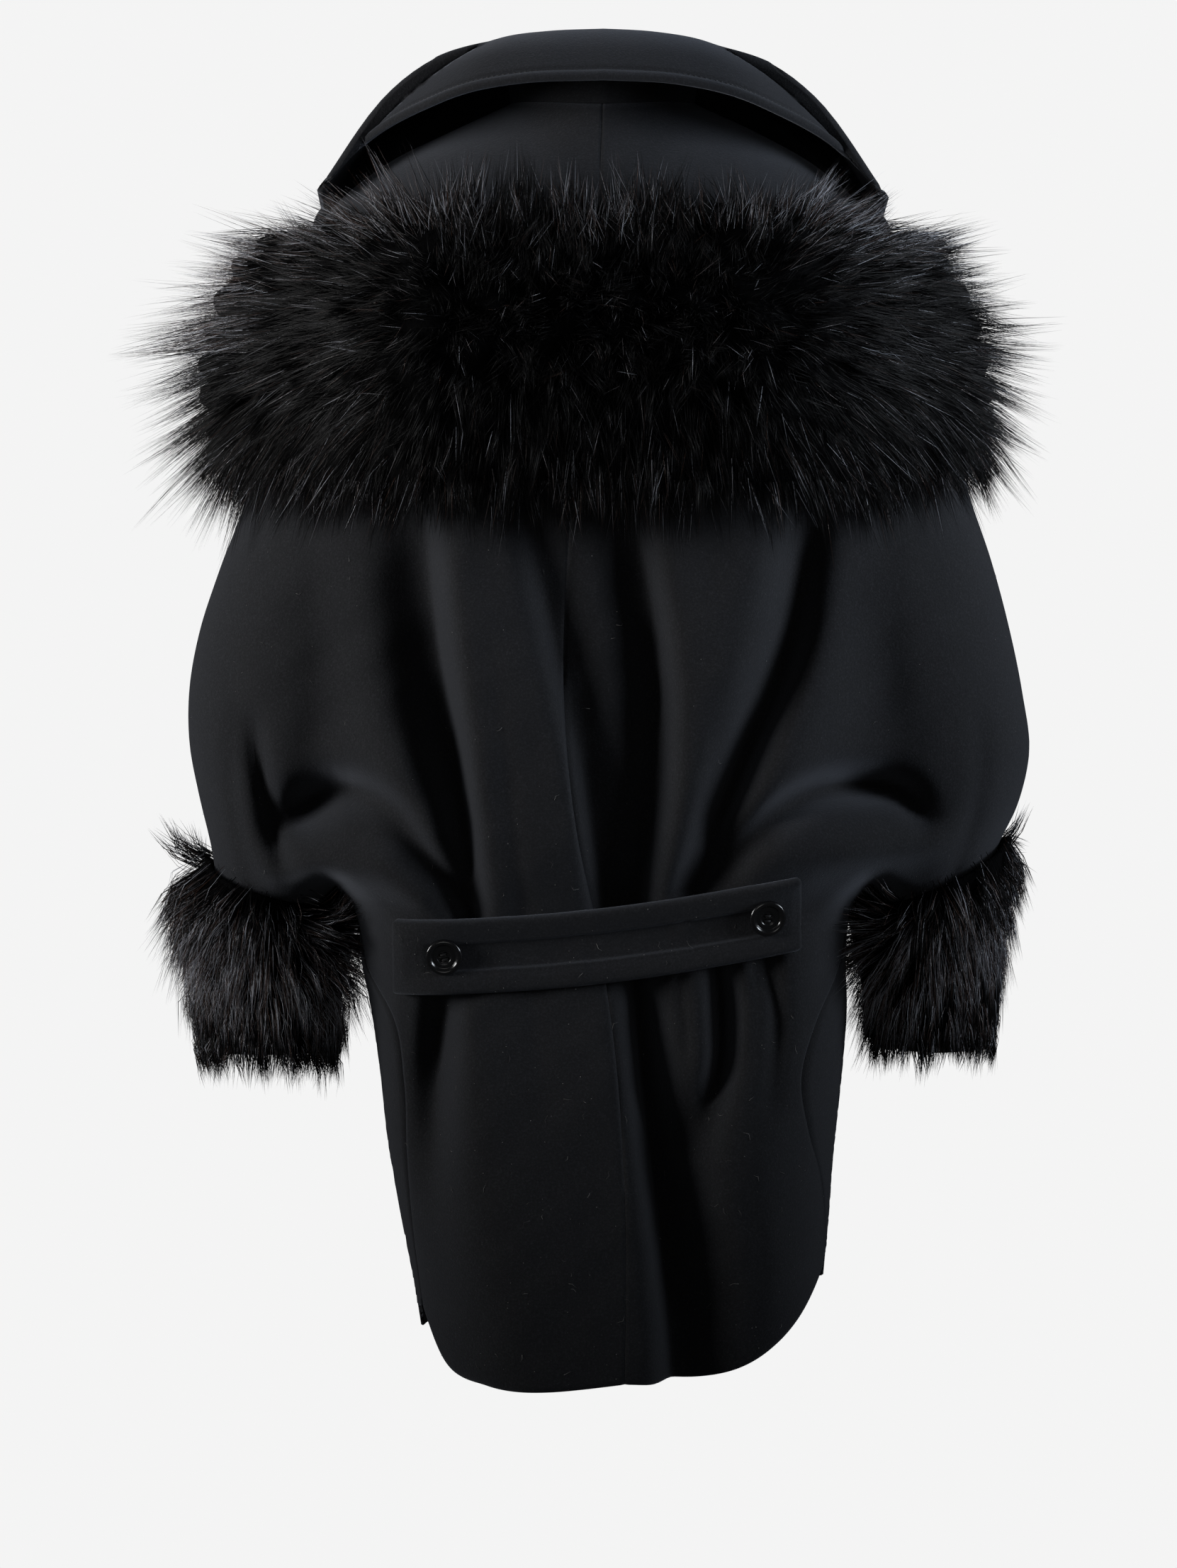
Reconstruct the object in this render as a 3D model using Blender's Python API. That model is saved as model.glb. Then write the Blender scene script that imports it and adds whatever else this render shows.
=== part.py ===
"""A wide black wool coat with a fur band round the shoulders and fur cuffs, in its worn form.

The coat faces -Y, its left side is +X. The origin is the base of the neck, where it hangs from
its wearer. All sizes in this file are millimetres; to_metres() turns them into Blender's units.

Each cloth panel is a wall round a middle surface. The surface is worked out from sections: how
far the cloth stands behind and before the seam plane at each height, the outline of arm and
body, and a table of folds. What lies on a panel is made from the same surface, moved out.
"""

import math

import bmesh
import bpy
import numpy as np
from mathutils import Matrix, Vector

for old in list(bpy.data.objects):
    bpy.data.objects.remove(old, do_unlink=True)

# ---------------------------------------------------------------- driving sizes, mm
WALL = 3.0  # felted wool
GAP = 0.34  # between two pieces at a seam
LEFT, RIGHT = 1, -1

NECK_HALF_WIDTH = 72
NECK_BACK_Z, NECK_SIDE_Z, NECK_FRONT_Z = -12, -4, -165
UNDERARM = (208, -612)  # where sleeve and body part, very low on this cut
SLEEVE_END_Z = -738
FRONT_OVERLAP = 28  # each front runs this far past the middle
OVERLAP_LIFT = 4.4  # the right front lies over the left one

BELT_HEIGHT, BELT_THICK, BELT_BORDER, BELT_STEP = 58, 6.5, 18, 2.0
BELT_LEFT, BELT_RIGHT, BELT_SAG = (155, -655), (-147, -621), 8
BELT_BUTTON_LEFT, BELT_BUTTON_RIGHT = (120, -652), (-122, -622)
BUTTON_R, BUTTON_THICK = 14, 5
FRONT_BUTTONS_Z = (-345, -480, -615)

PILE = 66  # how far the band's fur stands off the cloth
BAND_SWELL = {1: 20, -1: 0}  # how much more it stands off over the arm, on the left (1) and right (-1)
BAND_CLEAR = 4.2  # from the middle of the cloth to the back of the fur
CUFF_PILE = 37
CUFF_END_Z = -752

# The outline of arm and body from behind: shoulder line, over-arm seam, sleeve.
OUTLINE_COLUMNS = ("x", "z")
OVERARM = {
    LEFT: [
        (72, -4), (120, -26), (168, -50), (210, -84), (241, -132), (258, -190), (266, -245),
        (275, -301), (299, -366), (314, -411), (323, -460), (323, -500), (316, -540),
        (306, -585), (303, -612), (304, -640), (306, -680), (307, -738),
    ],
    RIGHT: [
        (72, -4), (120, -26), (166, -52), (206, -88), (238, -136), (258, -192), (272, -250),
        (285, -305), (302, -355), (316, -405), (328, -460), (334, -505), (326, -545),
        (308, -585), (302, -612), (301, -640), (300, -680), (300, -738),
    ],
}
# The body's side outline below the arm, and how far the side seam lies in from it towards the back.
SIDE_COLUMNS = ("z", "outline", "seam_in")
SIDE = {
    LEFT: [
        (-612, 208, 0), (-622, 198, 0), (-640, 191, 1), (-670, 188, 7), (-700, 182, 20),
        (-755, 174, 22), (-810, 168, 18), (-868, 158, 12), (-920, 148, 8), (-1000, 136, 6),
    ],
    RIGHT: [
        (-612, 208, 0), (-622, 198, 0), (-640, 192, 1), (-670, 190, 9), (-704, 191, 28),
        (-750, 188, 38), (-790, 184, 28), (-830, 180, 13), (-860, 178, 7), (-1000, 166, 4),
    ],
}
SLEEVE_INNER = [(208, -612), (219, -621), (226, -640), (228, -680), (228, -738)]
CENTRE_BACK_COLUMNS = ("z", "x")
CENTRE_BACK = [
    (0, 0), (-100, 4), (-220, 14), (-345, 26), (-480, 29), (-560, 20), (-640, 4), (-720, -8),
    (-830, -16), (-1000, -16),
]
# How far the cloth stands off the seam plane, behind (back) and before (front), over the body and
# over the arm, and the radius at which it turns round the over-arm line and the under-arm.
SECTION_COLUMNS = ("z", "body_back", "body_front", "arm_back", "arm_front", "round_out", "round_body", "round_sleeve")
SECTION = [
    (0, 84, 46, 62, 46, 72, 28, 28),
    (-40, 106, 66, 74, 60, 86, 28, 28),
    (-100, 134, 98, 88, 76, 104, 28, 28),
    (-165, 150, 122, 94, 84, 110, 28, 28),
    (-250, 158, 140, 98, 88, 106, 28, 28),
    (-350, 160, 150, 102, 90, 100, 28, 28),
    (-450, 158, 153, 104, 90, 94, 28, 28),
    (-530, 154, 152, 104, 86, 84, 28, 28),
    (-580, 146, 150, 98, 80, 66, 28, 28),
    (-612, 132, 148, 78, 66, 50, 30, 30),
    (-640, 122, 145, 56, 54, 40, 50, 38),
    (-680, 126, 142, 51, 50, 40, 74, 40),
    (-740, 137, 143, 50, 49, 40, 92, 40),
    (-820, 146, 146, 50, 48, 40, 98, 40),
    (-1000, 152, 150, 50, 48, 40, 100, 40),
]
ARM_FORWARD = 16  # the arms hang this far before the body's seam plane
LEAST_FOLD = 14  # a fold turns no sharper than this in these walls
WAIST_SLANT = 0.11  # the belt draws the back in along a slanting line

# Hem: how far down it reaches from the middle (0) to the side seam (1).
HEM_COLUMNS = ("across", "z")
HEM = {
    (LEFT, "back"): [(0, -975), (0.3, -981), (0.6, -980), (0.85, -968), (1, -934)],
    (RIGHT, "back"): [(0, -975), (0.3, -976), (0.55, -963), (0.8, -936), (1, -903)],
    (LEFT, "front"): [(0, -976), (0.3, -977), (0.55, -966), (0.8, -943), (1, -934)],
    (RIGHT, "front"): [(0, -976), (0.3, -975), (0.55, -957), (0.8, -916), (1, -903)],
}

# Folds of the back, as soft troughs (depth > 0) and swells (depth < 0) along a line.
# "left" and "right" are the trough's widths towards +X and towards -X.
FOLD_COLUMNS = ("x", "z", "depth", "left", "right")
BACK_FOLDS = {
    "valley_left": [
        (140, -250, 0, 34, 16), (134, -330, 29, 34, 13), (124, -440, 44, 34, 12), (112, -500, 43, 28, 10),
        (103, -560, 34, 20, 9), (97, -625, 20, 15, 9), (98, -672, 10, 14, 9),
    ],
    "ridge_right_edge": [
        (60, -250, 0, 14, 44), (52, -340, 15, 12, 44), (38, -400, 18, 11, 44), (24, -465, 21, 10, 42),
        (12, -520, 23, 9, 36), (2, -590, 23, 9, 28), (-4, -660, 18, 9, 20),
    ],
    "valley_middle": [
        (-18, -250, 0, 30, 14), (-24, -330, 18, 30, 12), (-36, -400, 25, 28, 11), (-42, -465, 29, 26, 11),
        (-39, -540, 28, 22, 11), (-29, -605, 22, 18, 11), (-26, -660, 22, 14, 12),
    ],
    "valley_right": [
        (-158, -250, 0, 22, 20), (-150, -338, 27, 24, 20), (-137, -428, 36, 24, 17), (-110, -498, 35, 20, 14),
        (-84, -561, 27, 15, 12), (-66, -605, 16, 12, 10),
    ],
    "arch_right": [
        (-76, -612, 7, 12, 10), (-100, -578, 15, 12, 11), (-130, -549, 19, 13, 13), (-162, -532, 27, 13, 15),
        (-195, -528, 36, 13, 15), (-226, -533, 30, 12, 14), (-246, -552, 11, 12, 12),
    ],
    "pouch_right": [(-120, -582, -4, 16, 16), (-165, -580, -14, 18, 22), (-205, -576, -18, 20, 24), (-245, -568, -8, 18, 20)],
    "pocket_left": [
        (250, -560, 8, 14, 14), (228, -545, 38, 16, 18), (200, -531, 31, 18, 16), (165, -540, 18, 18, 14),
        (134, -576, 17, 16, 12), (106, -622, 10, 12, 10),
    ],
    "pouch_left": [(248, -592, -8, 14, 16), (212, -588, -16, 18, 20), (172, -590, -12, 18, 18), (140, -606, -4, 14, 14)],
    "dimple_left": [(268, -470, 2, 9, 9), (264, -505, 12, 8, 9), (257, -545, 14, 8, 9), (246, -585, 7, 8, 9)],
    "hollow_left": [
        (118, -676, 18, 18, 12), (126, -735, 42, 22, 14), (130, -785, 38, 22, 16), (134, -850, 18, 20, 20),
        (136, -930, 6, 18, 22),
    ],
    "vent_valley": [
        (-24, -668, 25, 12, 18), (-30, -740, 41, 11, 24), (-36, -800, 44, 10, 34), (-46, -880, 40, 10, 46),
        (-56, -1000, 32, 12, 58),
    ],
    "notch_right": [(-84, -640, 13, 10, 12), (-90, -690, 31, 11, 13), (-90, -730, 31, 11, 13), (-82, -770, 16, 14, 14), (-70, -810, 0, 16, 16)],
    "side_gather_right": [(-124, -650, 9, 9, 9), (-130, -700, 10, 9, 9), (-126, -760, 4, 12, 10)],
}
# Folds of each front, with x counted outwards from the middle on both sides.
FRONT_FOLDS = {
    "drape_outer": [(150, -280, 0, 22, 22), (146, -380, 14, 24, 20), (136, -480, 18, 24, 18), (126, -570, 12, 20, 16), (120, -660, 8, 18, 16), (122, -780, 12, 20, 18), (124, -960, 8, 24, 24)],
    "drape_inner": [(84, -420, 0, 16, 18), (82, -520, 9, 16, 18), (80, -640, 10, 16, 18), (78, -780, 11, 18, 20), (76, -980, 9, 22, 24)],
    "arch": [(120, -575, 5, 12, 12), (150, -548, 11, 12, 14), (188, -534, 18, 12, 15), (226, -536, 16, 12, 14), (248, -556, 6, 12, 12)],
    "pouch": [(130, -592, -3, 14, 16), (170, -586, -7, 18, 20), (210, -580, -9, 20, 22), (248, -574, -4, 18, 20)],
}

# Collar, one row for each place round the neck on one side, from centre back (0) to the front
# edge (1) along the neck seam: the stand, the roll line, and the leaf down to its edge, as x, y, z.
COLLAR_THICK = 5
COLLAR_COLUMNS = ("along", "stand", "roll", "leaf_top", "leaf_mid", "edge")
COLLAR = [
    (0.00, (0, 80, 18), (0, 76, 38), (0, 96, 42), (0, 124, 28), (0, 146, 2)),
    (0.11, (31, 76, 18), (31, 72, 37), (40, 92, 41), (52, 120, 27), (62, 142, 0)),
    (0.24, (58, 55, 16), (59, 53, 34), (78, 72, 38), (104, 98, 20), (124, 118, -12)),
    (0.34, (70, 25, 14), (75, 24, 30), (104, 34, 32), (147, 48, 5), (182, 62, -37)),
    (0.45, (70, -10, 12), (76, -10, 26), (112, -12, 24), (166, -14, -10), (225, -14, -88)),
    (0.60, (62, -54, -20), (72, -60, -8), (104, -70, -12), (148, -84, -50), (188, -98, -116)),
    (0.76, (42, -96, -64), (54, -106, -50), (78, -122, -58), (108, -142, -98), (128, -150, -146)),
    (0.88, (24, -122, -90), (34, -134, -78), (52, -150, -88), (76, -162, -128), (92, -168, -174)),
    (1.00, (10, -134, -108), (14, -148, -100), (24, -162, -110), (42, -172, -150), (54, -178, -194)),
]
COLLAR_END_X = 5  # each side of the collar ends this far from the middle of the front
LEAF_CLEAR = 4  # the leaf lies at least this far off the cloth below it

# Fur band: top and bottom of the strip that is sewn on, from the middle to the over-arm line.
BAND_COLUMNS = ("across", "top", "bottom")
BAND_BACK = [(0, -122, -282), (0.4, -120, -284), (0.75, -122, -280), (1, -130, -262)]
BAND_FRONT = [(0.16, -290, -392), (0.4, -246, -378), (0.75, -176, -314), (1, -130, -262)]
# Across the band: how far along from its top (0) to its bottom (1), and how high the fur stands.
PILE_COLUMNS = ("down", "share")
PILE_FORM = [(-0.14, 0.30), (-0.04, 0.66), (0.12, 0.88), (0.36, 1.0), (0.62, 1.0), (0.86, 0.90), (1.06, 0.66), (1.2, 0.32)]


# ---------------------------------------------------------------- small mathematics
def ease(t):
    t = np.clip(t, 0, 1)
    return t * t * (3 - 2 * t)


def turn(t):
    """A quarter round: 0 at the seam, 1 from t = 1 on."""
    t = np.clip(t, 0, 1)
    return np.sqrt(np.maximum(0, 1 - (1 - t) ** 2))


def smooth(at, xs, ys):
    """A smooth curve through the points (xs, ys), level beyond its ends."""
    xs, ys = np.array(xs, float), np.array(ys, float)
    if xs[0] > xs[-1]:
        xs, ys = xs[::-1], ys[::-1]
    at = np.clip(np.asarray(at, float), xs[0], xs[-1])
    slope = np.gradient(ys, xs)
    i = np.clip(np.searchsorted(xs, at) - 1, 0, len(xs) - 2)
    h = xs[i + 1] - xs[i]
    t = (at - xs[i]) / h
    return (
        (2 * t**3 - 3 * t**2 + 1) * ys[i]
        + (t**3 - 2 * t**2 + t) * h * slope[i]
        + (3 * t**2 - 2 * t**3) * ys[i + 1]
        + (t**3 - t**2) * h * slope[i + 1]
    )


def column(rows, columns, name, at):
    """One named column of a table, read smoothly at places on its first column."""
    return smooth(at, [r[0] for r in rows], [r[columns.index(name)] for r in rows])


def curve_through(rows, count):
    """Points along a smooth line through the rows, and every column of the rows there."""
    rows = np.array(rows, float)
    along = np.r_[0, np.cumsum(np.linalg.norm(np.diff(rows[:, :2], axis=0), axis=1))]
    at = np.linspace(0, along[-1], count)
    return np.stack([smooth(at, along, rows[:, k]) for k in range(rows.shape[1])], axis=1)


def nearest(line, x, z):
    """The line's nearest place to each point: distance, side (1 on the left hand of one who goes
    along the line, -1 on the right, between them past its ends) and the row's values there."""
    shape = np.shape(x)
    p = np.stack([np.ravel(x), np.ravel(z)], axis=1)
    a, b = line[:-1, :2], line[1:, :2]
    d = b - a
    t = np.einsum("pnk,nk->pn", p[:, None] - a[None], d) / (d**2).sum(1)
    t = np.clip(t, 0, 1)
    q = a[None] + t[..., None] * d[None]
    far = np.linalg.norm(p[:, None] - q, axis=2)
    i = far.argmin(axis=1)
    k = np.arange(len(p))
    tt = t[k, i]
    values = line[i] * (1 - tt[:, None]) + line[i + 1] * tt[:, None]
    away = p - q[k, i]
    cross = d[i, 0] * away[:, 1] - d[i, 1] * away[:, 0]
    side = cross / np.maximum(np.linalg.norm(d[i], axis=1) * far[k, i], 1e-9)
    return far[k, i].reshape(shape), side.reshape(shape), values.reshape(shape + (-1,))


def fold(line, x, z):
    """How far the cloth goes in at each point along one fold. Each line runs downwards or inwards,
    so its left hand is +x."""
    far, side, row = nearest(line, x, z)
    depth, left, right = row[..., 2], row[..., 3], row[..., 4]
    width = np.maximum((left + right) / 2 + side * (left - right) / 2, LEAST_FOLD)
    return depth * np.exp(-((far / width) ** 2))


OUTER_LINE = {s: curve_through(OVERARM[s], 90) for s in (LEFT, RIGHT)}
SIDE_LINE = {
    s: curve_through([(r[1], r[0]) for r in SIDE[s]], 60) for s in (LEFT, RIGHT)
}
SLEEVE_LINE = curve_through(SLEEVE_INNER, 30)
BACK_LINES = [curve_through(rows, 26) for rows in BACK_FOLDS.values()]
FRONT_LINES = [curve_through(rows, 26) for rows in FRONT_FOLDS.values()]


def section(name, z):
    return column(SECTION, SECTION_COLUMNS, name, z)


def stand_off(side, face, x, z, folds=True):
    """How far the cloth of one half stands off the seam plane; x counts outwards from the middle."""
    x, z = np.asarray(x, float), np.asarray(z, float)
    waist = z + WAIST_SLANT * x * side * ease((-480 - z) / 60) * (face == "back") * ease((230 - x) / 90)
    body, arm = section("body_" + face, waist), section("arm_" + face, z)
    below = ease((UNDERARM[1] - z) / 50)
    over_arm = ease((x - 112) / 112)
    is_sleeve = x > UNDERARM[0]
    over_arm = np.where(is_sleeve, over_arm + (1 - over_arm) * below, over_arm * (1 - below))
    depth = body + (arm - body) * over_arm
    outer, _, _ = nearest(OUTER_LINE[side], np.abs(x), z)
    out = turn(outer / section("round_out", z))
    to_body, _, _ = nearest(SIDE_LINE[side], np.abs(x), z)
    to_sleeve, _, _ = nearest(SLEEVE_LINE, x, z)
    inner = np.where(
        is_sleeve,
        turn(to_sleeve / section("round_sleeve", z)),
        turn(to_body / section("round_body", z)),
    )
    # the over-arm line does not touch the body below the arm
    out = np.where(is_sleeve, out, out + (1 - out) * below)
    depth = depth * out * inner
    if folds:
        lines, fx = (BACK_LINES, x * side) if face == "back" else (FRONT_LINES, x)
        inward = sum(fold(line, fx, z) for line in lines)
        depth = depth - inward * np.clip(out * inner, 0, 1) ** 2
    if face == "front" and side == RIGHT:
        depth = depth + OVERLAP_LIFT * (1 - ease((x - 70) / 50))
    return depth


def seam_plane(x, z):
    return -ARM_FORWARD * ease((np.asarray(x, float) - 150) / 110) * ease((-330 - np.asarray(z, float)) / 280)


def place(side, face, x, z, folds=True):
    """The middle of the cloth at x (outwards) and z, as points in the coat's frame."""
    x, z = np.broadcast_arrays(np.asarray(x, float), np.asarray(z, float))
    y = seam_plane(x, z) + (1 if face == "back" else -1) * stand_off(side, face, x, z, folds)
    return np.stack([x * side, y, z], axis=-1)


# ---------------------------------------------------------------- meshes
def normals_of(points, faces):
    """Unit normals at the points of a surface of four-sided faces."""
    p = np.asarray(points)
    f = np.asarray(faces)
    n = np.cross(p[f[:, 2]] - p[f[:, 0]], p[f[:, 3]] - p[f[:, 1]])
    out = np.zeros_like(p)
    for k in range(4):
        np.add.at(out, f[:, k], n)
    return out / np.maximum(np.linalg.norm(out, axis=1, keepdims=True), 1e-9)


def closed_faces(faces, count):
    """Outer faces, the same faces inside (numbered from count on), and the rim that joins them."""
    edges = {}
    for f in faces:
        for a, b in zip(f, f[1:] + f[:1]):
            edges[(a, b)] = True
    rim = [(b, a, a + count, b + count) for a, b in edges if (b, a) not in edges]
    inside = [tuple(i + count for i in reversed(f)) for f in faces]
    return [tuple(f) for f in faces] + inside + rim


COAT = bpy.data.collections.new("wool_coat")
bpy.context.scene.collection.children.link(COAT)


def to_metres(points):
    return [Vector(p) * 0.001 for p in np.asarray(points, float).tolist()]


def material(name, colour, roughness, metallic=0.0):
    m = bpy.data.materials.new(name)
    m.use_nodes = True
    shader = m.node_tree.nodes["Principled BSDF"]
    shader.inputs["Base Color"].default_value = (*colour, 1)
    shader.inputs["Roughness"].default_value = roughness
    shader.inputs["Metallic"].default_value = metallic
    return m


WOOL = material("black_wool", (0.013, 0.014, 0.020), 0.92)
FUR = material("black_fur", (0.010, 0.009, 0.009), 0.55)
HORN = material("black_button", (0.006, 0.006, 0.007), 0.22)


def add_mesh(name, points, faces, look):
    mesh = bpy.data.meshes.new(name)
    mesh.from_pydata(to_metres(points), [], [list(f) for f in faces])
    mesh.validate()
    mesh.materials.append(look)
    mesh.shade_smooth()
    obj = bpy.data.objects.new(name, mesh)
    COAT.objects.link(obj)
    return obj


def add_wall(name, points, normals, faces, look, outside, inside):
    """A closed wall from a surface, its outer and inner side that far along the normals."""
    outer, inner = points + normals * outside, points + normals * inside
    return add_mesh(name, np.vstack([outer, inner]), closed_faces(faces, len(points)), look)


# ---------------------------------------------------------------- cloth panels
UP_ROWS = np.r_[np.linspace(0, 0.945, 26), 0.968, 0.986, 1.0]
LEG_ROWS = np.r_[0.012, 0.032, 0.06, np.linspace(0.1, 1, 17)]
SLEEVE_ROWS = np.r_[0.05, 0.12, 0.2, 0.34, 0.62, 1.0]
COLUMNS = {"back": (13, 7), "front": (8, 5)}  # up to the under-arm, and from there over the arm


def middle(side, face, z):
    if face == "back":
        return side * column(CENTRE_BACK, CENTRE_BACK_COLUMNS, "x", z)
    return np.full(np.shape(z), -float(FRONT_OVERLAP))


def side_seam(side, x, z):
    """A place on the side seam. Just below the under-arm it lies on the seam plane itself."""
    p = place(side, "back", x, z)
    behind = ease((UNDERARM[1] - 12 - z) / 25)
    p[1] = seam_plane(x, z) * (1 - behind) + p[1] * behind
    return p


def panel(side, face):
    """Points, faces and seams of one panel: rows from the neck to the under-arm, then its legs."""
    inner, outer = COLUMNS[face]
    top = {"back": NECK_BACK_Z, "front": NECK_FRONT_Z}[face]
    t_in, t_out = np.arange(inner + 1) / inner, np.arange(1, outer + 1) / outer
    points, index = [], {}

    def add(key, p):
        index[key] = len(points)
        points.append(p)

    # the over-arm line, by length from the neck to the height of the under-arm
    line = OUTER_LINE[side][OUTER_LINE[side][:, 1] >= UNDERARM[1] - 0.5]
    length = np.r_[0, np.cumsum(np.linalg.norm(np.diff(line[:, :2], axis=0), axis=1))]
    length /= length[-1]
    for r, v in enumerate(UP_ROWS):
        xo, zo = np.interp(v, length, line[:, 0]), np.interp(v, length, line[:, 1])
        if r == len(UP_ROWS) - 1:
            zo = UNDERARM[1]
        zm = top + (UNDERARM[1] - top) * v
        xm = middle(side, face, zm)
        slit = 0.6 + ((UNDERARM[0] - xm) / (xo - xm) - 0.6) * ease(v * 1.4 - 0.4) if v < 1 else (UNDERARM[0] - xm) / (xo - xm)
        share = np.r_[t_in * slit, slit + (1 - slit) * np.sin(t_out * math.pi / 2)]
        x = xm + (xo - xm) * share
        z = zm + (zo - zm) * share ** (1.6 if face == "back" else 1.0)
        row = place(side, face, x, z)
        for c in range(inner + outer + 1):
            add(("up", r, c), row[c])
    last = len(UP_ROWS) - 1

    # the body's leg, down to the hem
    hem = HEM[(side, face)]
    for k, w in enumerate(LEG_ROWS):
        z = UNDERARM[1] + (smooth(t_in, [h[0] for h in hem], [h[1] for h in hem]) - UNDERARM[1]) * w
        outline = column(SIDE[side], SIDE_COLUMNS, "outline", z)
        seam_x = outline[-1] - column(SIDE[side], SIDE_COLUMNS, "seam_in", z[-1])
        xm = middle(side, face, z)
        if face == "back":
            bunch = 0.35 * ease(w * 8)
            share = (1 - bunch) * t_in + bunch * np.sin(t_in * math.pi / 2)
            x = xm + (seam_x - xm) * share
            row = place(side, face, x, z)
            row[-1] = side_seam(side, seam_x, z[-1])
        else:
            # by length along the front, round the side and on to the seam behind it
            q = np.linspace(0, 1, 80)
            level, far = float(z.mean()), outline[-1]
            front_x = -FRONT_OVERLAP + (far + FRONT_OVERLAP) * np.sin(q * math.pi / 2)
            behind_x = far - (far - seam_x) * q[1:] ** 2
            x_all = np.r_[front_x, behind_x]
            is_behind = np.r_[np.zeros(len(front_x)), np.ones(len(behind_x))]
            y_all = np.where(
                is_behind > 0,
                place(side, "back", x_all, level, False)[:, 1],
                place(side, "front", x_all, level, False)[:, 1],
            )
            run = np.r_[0, np.cumsum(np.hypot(np.diff(x_all), np.diff(y_all)))]
            turned = run[len(front_x) - 1]
            # just below the under-arm the columns still stand as they do above it
            above = np.interp(-FRONT_OVERLAP + (far + FRONT_OVERLAP) * t_in, front_x, run[: len(front_x)])
            above = above + (run[-1] - turned) * t_in**4
            below = ease(w / 0.11)
            at = (1 - below) * above + below * t_in * run[-1]
            at[-1] = run[-1]
            x = np.interp(at, run, x_all)
            behind = at > turned
            x = np.minimum(x + (outline - far) * ease(t_in * 1.5), outline)
            x[-1] = seam_x
            row = np.where(
                behind[:, None], place(side, "back", x, z), place(side, "front", x, z)
            )
            row[-1] = side_seam(side, seam_x, z[-1])
        for c in range(inner + 1):
            add(("leg", k, c), row[c])

    # the sleeve's leg, down to its end inside the cuff
    t = np.r_[0, t_out]
    for k, w in enumerate(SLEEVE_ROWS):
        z = UNDERARM[1] + (SLEEVE_END_Z - UNDERARM[1]) * w
        xi = np.interp(-z, -SLEEVE_LINE[:, 1], SLEEVE_LINE[:, 0])
        xo = np.interp(-z, -OUTER_LINE[side][:, 1], OUTER_LINE[side][:, 0])
        both = ease(w * 5)
        share = (1 - both) * np.sin(t * math.pi / 2) + both * (1 - np.cos(t * math.pi)) / 2
        row = place(side, face, xi + (xo - xi) * share, z)
        for c in range(outer + 1):
            add(("sleeve", k, inner + c), row[c])

    faces = []
    end = inner + outer

    def quads(rows_of, columns):
        for upper, lower in zip(rows_of, rows_of[1:]):
            for c in columns:
                a, b = index[(*upper, c)], index[(*upper, c + 1)]
                d, e = index[(*lower, c + 1)], index[(*lower, c)]
                faces.append((a, b, d, e))

    ups = [("up", r) for r in range(last + 1)]
    quads(ups, range(inner + outer))
    quads([ups[-1]] + [("leg", k) for k in range(len(LEG_ROWS))], range(inner))
    quads([ups[-1]] + [("sleeve", k) for k in range(len(SLEEVE_ROWS))], range(inner, inner + outer))
    outward = (face == "back") != (side == LEFT)
    if outward:
        faces = [tuple(reversed(f)) for f in faces]

    # seam points: each one's neighbour inside the panel, the seam's direction, and its own name
    # for the place
    seams = {}

    def seam(at, beside, *place_on_seam):
        kind, r, c = at
        before = index.get((kind, r - 1, c), index[at] if kind == "up" else index[("up", last, c)])
        after = index.get((kind, r + 1, c), index[at])
        if kind == "up" and r == last and c in (0, end):
            after = index[("leg" if c == 0 else "sleeve", 0, c)]
        seams[index[at]] = (index[beside], points[after] - points[before], place_on_seam)

    for r in range(last + 1):
        seam(("up", r, end), ("up", r, end - 1), "over the arm", side, r)
        if face == "back":
            seam(("up", r, 0), ("up", r, 1), "centre back", "up", r)
    for k in range(len(LEG_ROWS)):
        seam(("leg", k, inner), ("leg", k, inner - 1), "side", side, k)
        if face == "back":
            seam(("leg", k, 0), ("leg", k, 1), "centre back", "leg", k)
    for k in range(len(SLEEVE_ROWS)):
        seam(("sleeve", k, end), ("sleeve", k, end - 1), "sleeve, outside", side, k)
        seam(("sleeve", k, inner), ("sleeve", k, inner + 1), "sleeve, inside", side, k)
    seam(("up", last, inner), ("up", last - 1, inner), "under the arm", side)
    seams[index[("up", last, inner)]] = (
        index[("up", last - 1, inner)],
        points[index[("sleeve", 0, inner)]] - points[index[("leg", 0, inner)]],
        ("under the arm", side),
    )
    neck = [index[("up", 0, c)] for c in range(inner + outer + 1)]
    return np.array(points), faces, seams, neck


PANELS = {
    "back_left": (LEFT, "back"),
    "back_right": (RIGHT, "back"),
    "front_left": (LEFT, "front"),
    "front_right": (RIGHT, "front"),
}


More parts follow.
